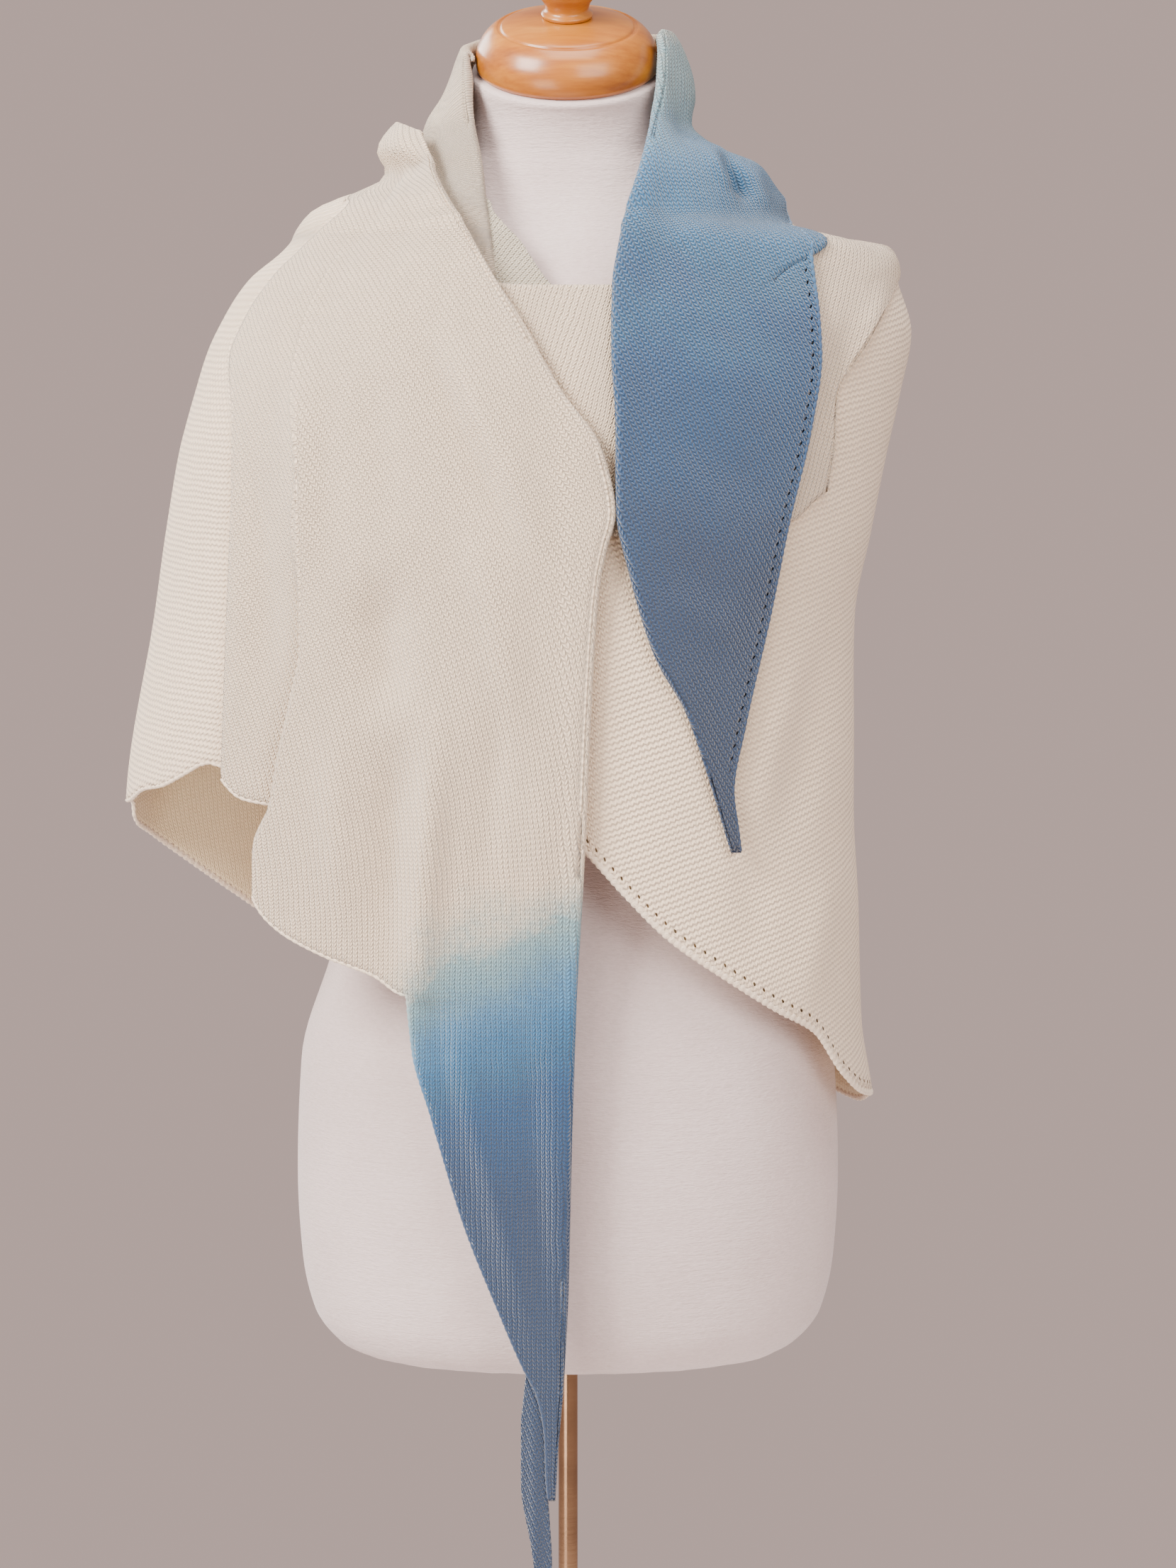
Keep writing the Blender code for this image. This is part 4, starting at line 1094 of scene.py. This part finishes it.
flap_right = np.concatenate([
    [(SHOULDER_TURN, 752), (SHOULDER_TURN, 737), (SHOULDER_TURN, 722), (SHOULDER_TURN - 1, 712)],
    placed(FLAP_RIGHT, flap_lifts, fine=4),
])
flap_places = panel(
    seen_edge(FLAP_LEFT, ((760, 5), (620, 5), (560, 3), (500, 3)), FLAP_ROWS),
    edge(flap_right, flap_lifts, FLAP_ROWS),
    placed(FLAP_FOLD, 5.0), placed(FLAP_EDGE, 3.0), ((760, 6), (700, 5.4), (620, 5), (560, 3), (500, 3)), 84,
)
flap_points = cloth_points(flap_places, FLAP_FOLDS)
flap_stitch = leaning(flap_places, ((0, -16), (1400, -16)), 120.0)
flap_block = block(flap_points, flap_stitch, 0 * flap_stitch + NO_RIM, -NO_RIM)
flap_roll = 2.6 * ease((np.arange(FLAP_ROWS) - 19) / 14.0, 0.22)
flap_block = curl(flap_block, "right", radius=flap_roll, tuck=flap_roll)
flap_block = curl(flap_block, "top", radius=1.7, tuck=3.0)
wrap_flap = knit_sheet("wrap_flap", [flap_block], knit_finish(
    "wool_knit_flap", "stocking_stitch", WOOL_CREAM, eyelets=False,
))
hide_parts("chest_flap")
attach(wrap_flap, "root")

# ==== Wrap: the blue end, the collar and the inner fold ======================
# The first stretch of the wrap: its blue tip lies on the left of the chest, it stands round the back of the
# neck as a high collar, and comes down inside the front layer with its own edge folded in.
UPPER_ROWS = 36
LOWER_ROWS = 78
POINT_LEFT = (
    (60.5, 862), (61.5, 848), (61.5, 835), (58.5, 818), (54.5, 803), (47, 777), (38.5, 751), (33, 725),
    (29.3, 699),
    (29, 660), (32, 607), (32, 556), (41, 512), (57, 460), (77, 424), (91, 383), (106, 334),
)
# turn and height where its edge runs down over the shoulder
SHOULDER_RIM = (
    (91, 750), (86, 743.5), (80, 737.5), (74, 731.5), (66, 727), (53.5, 723.5), (49, 719.5), (45.5, 716),
)
POINT_RIGHT = (
    (156, 715), (161, 673), (162, 653), (156, 609), (141, 544), (130, 489), (113, 413),
    (106, 373), (109, 350), (111, 334),
)
COLLAR_FOLD = (
    (-65, 848), (-66, 841), (-65.5, 830), (-64.3, 816), (-62, 803), (-56.5, 777), (-53.3, 751),
    (-49.8, 725), (-47.5, 703),
)
# start and end as seen, half width, rise
POINT_FOLDS = (
    (99, 783, 116, 752, 4.5, -8), (88, 786, 108, 760, 6, 3), (116, 776, 128, 744, 6, 2.5),
    (66, 846, 76, 786, 6, -2.5),
    (56, 800, 40, 690, 7, 2.5), (62, 770, 74, 700, 9, -2), (60, 700, 110, 620, 20, 1.5),
    (60, 610, 130, 560, 16, -1.5),
    (60, 500, 110, 470, 14, 1.5), (50, 690, 48, 560, 10, -1.5),
)


def joined_edge(upper, lower, lifts):
    """An edge in two runs that meet at a row of the grid, with the rise at each place."""
    places = np.concatenate([spread(upper, UPPER_ROWS), spread(lower, LOWER_ROWS + 1)[1:]])
    return places, by_height(lifts, places[:, 1])


point_lifts = ((866, 3), (830, 3), (800, 4), (777, 8), (740, 14), (560, 15), (480, 12), (350, 8), (300, 8))
rim_lifts = (
    (866, 3), (812, 1), (800, -2.5), (788, -4), (778, -1), (768, 5), (756, 7), (745, 8.5), (736, 5), (729, 4),
    (720, 7), (714, 9.5), (560, 11), (480, 8), (350, 8), (300, 8),
)
point_left = joined_edge(
    *(placed(part, point_lifts, fine=5) for part in (POINT_LEFT[:7], POINT_LEFT[6:])), point_lifts,
)
collar_start = np.array([(SHOULDER_TURN, height) for height in (850, 825, 800, 777, 757)])
point_right = joined_edge(
    collar_start,
    np.concatenate([collar_start[-1:], SHOULDER_RIM, placed(POINT_RIGHT, rim_lifts, fine=4)]),
    rim_lifts,
)
point_middle = (
    (866, 3), (800, 1), (786, -1), (768, 6), (752, 8), (742, 7.5), (733, 5.5), (725, 6.5), (714, 10),
    (700, 11.5), (560, 12), (480, 9), (350, 8), (300, 8),
)
point = panel(point_left, point_right, (), (), point_middle, 44)
collar_left = point_right[0][:UPPER_ROWS], point_right[1][:UPPER_ROWS]
collar_right = edge(
    [(267, 846), (267, 800), (267, 748)], ((866, 1), (800, 1), (777, -2), (748, -8), (700, -8)), UPPER_ROWS,
)
collar = panel(
    collar_left, collar_right, [(135, 856), (180, 858), (225, 856)], [(180, 748)],
    ((866, 2), (800, 1), (777, -4), (748, -9), (700, -9)), 60,
)
inner = panel(
    collar_right, seen_edge(COLLAR_FOLD, ((866, 1), (700, 0)), UPPER_ROWS, turns=360.0), (),
    placed(((-100, 725),)) + ONE_TURN, ((866, 2), (800, 0), (700, 0)), 26,
)
band_places = np.concatenate([point[:UPPER_ROWS], collar[:, 1:], inner[:, 1:]], axis=1)
COLLAR_FOLDS = (
    (-90, 800, -70, 720, 6, -2.5), (-72, 826, -62, 750, 6, 1.5), (-104, 770, -82, 715, 7, 2),
    (-76, 850, -84, 800, 5, -1.5),
)
band_points = cloth_points(band_places, (*POINT_FOLDS, *COLLAR_FOLDS))
point_points = cloth_points(point, POINT_FOLDS)
band_points[:, :point.shape[1]] = point_points[:UPPER_ROWS]
soften(band_points, bell(band_points.shape[1], point.shape[1] - 1, 4.0), 6)
low_points = np.concatenate([band_points[-1:, :point.shape[1]], point_points[UPPER_ROWS:]], axis=0)
low_places = point[UPPER_ROWS - 1:]

POINT_LEAN = ((0, 30), (660, 30), (760, 22), (860, 4), (1400, 0))
POINT_CENTRE = 90.0
# how dark the dye is at each height down the blue end
POINT_DYE = (
    (892, 0), (856, 18), (803, 45), (754, 95), (700, 118), (654, 135), (518, 190), (429, 300), (330, 560),
)


def band_dye(places):
    """Depth of dye down the blue end, fading out round the neck."""
    turn, height = places[..., 0], places[..., 1]
    return by_height(POINT_DYE, np.minimum(height, 891.9)) - 1.1 * np.maximum(turn - 80.0, 0.0)


band_stitch = leaning(band_places, POINT_LEAN, POINT_CENTRE)
low_stitch = leaning(low_places, POINT_LEAN, POINT_CENTRE)
from_right = run_along(low_points[:, ::-1], 1)[:, ::-1]
down_right = run_along(low_points, 0)[:, -1:] + 0 * from_right
low_rim = np.stack([down_right, from_right], axis=-1)
low_rim[low_places[..., 1] < 395.0] += NO_RIM
band_block = block(band_points, band_stitch, 0 * band_stitch + NO_RIM, band_dye(band_places))
low_block = block(low_points, low_stitch, low_rim, band_dye(low_places))

# The blue end's left edge is rolled under all the way down, so that edge is curled on one tall block.
tall_block = stacked(split(band_block, slice(point.shape[1])), low_block)
tip = ease(np.arange(len(tall_block["points"]), 0, -1) / 40.0, 0.3)
TOP_STEPS = 6
tall_block = curl(tall_block, "top", radius=1.2, tuck=2.0, steps=TOP_STEPS)
tip = np.concatenate([np.linspace(0.3, 1.0, TOP_STEPS + 1), tip])
tall_block = curl(tall_block, "left", radius=2.8 * tip, tuck=6.0 * tip)
collar_block = split(band_block, slice(point.shape[1] - 1, None))
top_roll = 1.2 + 1.6 * ease(np.arange(collar_block["points"].shape[1]) / 16.0)
collar_block = curl(collar_block, "top", radius=top_roll, tuck=2.0, steps=TOP_STEPS)
fold_roll = 3.2 * ease((np.arange(len(collar_block["points"])) - 4) / 10.0, 0.3)
collar_block = curl(collar_block, "right", radius=fold_roll, tuck=9.0)
wrap_collar = knit_sheet("wrap_collar", [tall_block, collar_block], knit_finish(
    "wool_knit_collar", "stocking_stitch", WOOL_CREAM, wale=0.0034, course=0.0027, relief=0.0021,
    painted_stitch_shade=0.85,
))
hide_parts("blue_point", "neck_collar", "inner_collar")
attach(wrap_collar, "root")

# ==== Wrap: the small fold at the throat =====================================
# A corner of the collar turned in against the neck, in shade under the two layers over it.
NECK_FOLD_LEFT = ((-54, 756), (-50, 725), (-44, 694))
NECK_FOLD_RIGHT = ((-49, 751), (-30, 726), (-6, 694))
THROAT_LIFT = -4.0
throat = panel(*(
    edge(placed(line, THROAT_LIFT), ((800, THROAT_LIFT), (600, THROAT_LIFT)), 26)
    for line in (NECK_FOLD_LEFT, NECK_FOLD_RIGHT)
), (), (), None, 20)
throat_points = cloth_points(throat, ())
throat_stitch = leaning(throat, ((0, -40), (1400, -40)), -60.0)
throat_block = block(throat_points, throat_stitch, 0 * throat_stitch + NO_RIM, -NO_RIM)
# Its wool is painted a darker cream than the rest of the wrap: painted shade for where it lies under the
# layers over it.
wrap_throat = knit_sheet("wrap_throat_fold", [throat_block], knit_finish(
    "wool_knit_throat_painted_shade", "stocking_stitch", "E2D6BF", eyelets=False,
))
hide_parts("neck_fold")
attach(wrap_throat, "root")

# ==== Wrap: the tail's other side ============================================
# Below the form the tail is twisted once, so its back half shows beside and under the front one.
BACK_PLY_LEFT = ((-26, 8), (-28, -12), (-30, -34), (-30, -70), (-23, -112), (-16, -176))
BACK_PLY_RIGHT = ((-6, 8), (-12, -12), (-14, -34), (-13, -70), (-10, -125), (-12, -176))
ply_lift = TAIL_LIFT - KNIT_WALL - 0.5
ply = panel(*(
    edge(placed(line, 8.0), ((100, ply_lift), (-200, ply_lift)), 70)
    for line in (BACK_PLY_LEFT, BACK_PLY_RIGHT)
), (), (), None, 14)
ply_points = cloth_points(ply, ((-22, 0, -20, -170, 4, 1.2),))
ply_stitch = leaning(ply, ((-400, 24), (1400, 24)), -20.0)
ply_rim = np.stack([run_along(ply_points, 0), run_along(ply_points, 1)], axis=-1)
ply_block = block(ply_points, ply_stitch, ply_rim, dye_depth(ply_points))
wrap_ply = knit_sheet("wrap_tail_back", [ply_block], knit_finish(
    "wool_knit_tail_back", "stocking_stitch", WOOL_CREAM, eyelets=False, dye_shift=-0.06,
))
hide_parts("tail_back")
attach(wrap_ply, "root")

# ==== Wrap: the chained edge =================================================
# The cast-off edge is a firm chain, one fat link to each eyelet, that runs along the hem and the blue end.
CHAIN_STEP = 1.1
CHAIN_LINK = 4.6
CHAIN_DEPTH = 1.6


def chain(name, line, outward, width):
    """A beaded cord along a line: an ellipse whose size swells and shrinks once in each link."""
    line = np.asarray(line, float)
    run = run_along(line[None], 1)[0]
    keep = np.concatenate([[True], np.diff(run) > 1e-6])
    run, line, outward = run[keep], line[keep], np.asarray(outward, float)[keep]
    at = np.arange(0.0, run[-1], CHAIN_STEP)
    centre = np.stack([np.interp(at, run, line[:, axis]) for axis in range(3)], axis=-1)
    width = np.interp(at, run, np.broadcast_to(width, keep.shape)[keep])[:, None, None]
    normal = np.stack([np.interp(at, run, outward[:, axis]) for axis in range(3)], axis=-1)
    along = np.gradient(centre, axis=0)
    along /= np.linalg.norm(along, axis=-1, keepdims=True)
    normal -= along * (normal * along).sum(-1, keepdims=True)
    normal /= np.linalg.norm(normal, axis=-1, keepdims=True)
    sideways = np.cross(along, normal)
    swell = 0.68 + 0.32 * np.abs(np.sin(math.pi * at / CHAIN_LINK))
    swell[0] = swell[-1] = 0.35
    angles = np.linspace(0, 2 * math.pi, 9)[:-1]
    rings = centre[:, None] + swell[:, None, None] * (
        width * np.cos(angles)[None, :, None] * sideways[:, None]
        + CHAIN_DEPTH * np.sin(angles)[None, :, None] * normal[:, None]
    )
    made = loft(name, rings)
    work = bmesh.new()
    work.from_mesh(made.data)
    bmesh.ops.recalc_face_normals(work, faces=work.faces)
    work.to_mesh(made.data)
    work.free()
    shade = made.data.attributes.new("dye", "FLOAT", "POINT")
    return made, np.repeat(centre, len(angles), axis=0), shade


# The same wool as the cloth, without stitches: fuzz and dye only.
edge_wool, tree, shader = new_finish(
    "wool_chain_edge", Roughness=0.9, Sheen_Weight=0.45, Sheen_Roughness=0.55
)
place = put(tree, "ShaderNodeTexCoord").outputs["Object"]
depth = put(tree, "ShaderNodeAttribute", attribute_name="dye").outputs["Fac"]
fuzz = noise(tree, place, 900.0, 4.0)
dyed = use_group(tree, "dip_dye", {"Depth": depth, "Place": place, "Undyed": tint(WOOL_CREAM)})
dyed = put(tree, "ShaderNodeHueSaturation", {
    "Color": dyed.outputs["Colour"], "Value": added(tree, 0.66, (fuzz, 0.5)),
})
paint(tree, shader, dyed.outputs["Color"], fuzz, 0.8, 0.001)

hem_line = np.concatenate([body_points[-1, :corner + 1], tail_points[1:, 0]])
hem_normals = np.concatenate([grid_normals(body_points)[-1, :corner + 1], grid_normals(tail_points)[1:, 0]])
hem_width = np.where(np.arange(len(hem_line)) < side_start - 4, 2.7, 1.4)
hem_chain, centres, shade = chain("wrap_hem_chain", hem_line, hem_normals, hem_width)
hem_x, _ = as_seen(centres)
hem_dye = np.where((centres[:, 1] < 0) & (hem_x < 0), dye_depth(centres), -NO_RIM)
shade.data.foreach_set("value", (hem_dye / 1000.0).astype(np.float32))
point_chain, centres, shade = chain(
    "wrap_point_chain", low_points[:, -1], grid_normals(low_points)[:, -1],
    np.linspace(2.3, 1.0, len(low_points)),
)
shade.data.foreach_set("value", (by_height(POINT_DYE, centres[:, 2]) / 1000.0).astype(np.float32))
for piece in (hem_chain, point_chain):
    piece.data.materials.append(edge_wool)
    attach(piece, "root")

# ==== Floor, light and camera ================================================
# A plain pale floor, large soft lamps to the front, and the camera where the photograph was taken from.
FLOOR_RADIUS = 1.05
FLOOR_DROP = 0.0005
floor_mesh = bpy.data.meshes.new("floor")
disc = ring(-FLOOR_DROP, *(FLOOR_RADIUS,) * 3)
floor_mesh.from_pydata(disc.tolist(), [], [tuple(range(len(disc)))])
floor = bpy.data.objects.new("floor", floor_mesh)
bpy.context.scene.collection.objects.link(floor)
finish, tree, shader = new_finish("pale_floor", Roughness=0.7)
shader.inputs["Base Color"].default_value = tint("D9D2D0")
floor_mesh.materials.append(finish)

world = bpy.data.worlds.new("studio")
bpy.context.scene.world = world
world.use_nodes = True
world.node_tree.nodes["Background"].inputs["Color"].default_value = tint("C6AEA7")
world.node_tree.nodes["Background"].inputs["Strength"].default_value = 1.0

# place, aim, size, power, warmth
LAMPS = (
    ((-2.0, -1.8, 2.7), (0.0, 0.0, 1.0), 1.3, 215.0, (1.0, 0.96, 0.92)),
    ((1.5, -2.6, 2.0), (0.0, 0.0, 1.0), 1.8, 66.0, (1.0, 0.97, 0.96)),
    ((0.1, -0.9, 3.4), (0.0, 0.0, 1.2), 1.6, 60.0, (1.0, 0.98, 0.96)),
    ((-1.0, -1.7, 0.35), (-0.15, 0.0, 0.9), 1.0, 16.0, (1.0, 0.95, 0.92)),
    ((-1.9, 2.2, 2.3), (0.0, 0.0, 0.9), 1.5, 70.0, (1.0, 0.99, 0.97)),
)
for place, aim, size, power, warmth in LAMPS:
    lamp = bpy.data.lights.new("soft_lamp", "AREA")
    lamp.size = size
    lamp.energy = power
    lamp.color = warmth
    holder = bpy.data.objects.new("soft_lamp", lamp)
    holder.location = place
    holder.rotation_euler = (Vector(aim) - Vector(place)).to_track_quat("-Z", "Y").to_euler()
    bpy.context.scene.collection.objects.link(holder)

# millimetres that the picture's height spans on the plane through the form's centre
IMAGE_HEIGHT = 2212 * 0.455
SENSOR = 36.0
camera = bpy.data.cameras.new("camera")
camera.sensor_width = SENSOR
camera.lens = SENSOR * VIEW_REACH / IMAGE_HEIGHT
camera.clip_start = 0.05
viewer = bpy.data.objects.new("camera", camera)
viewer.location = (VIEW_CENTRE[0] / 1000.0, -VIEW_DISTANCE / 1000.0, (VIEW_HEIGHT + FORM_LIFT) / 1000.0)
viewer.rotation_euler = (math.pi / 2 - VIEW_PITCH, 0.0, 0.0)
bpy.context.scene.collection.objects.link(viewer)
bpy.context.scene.camera = viewer
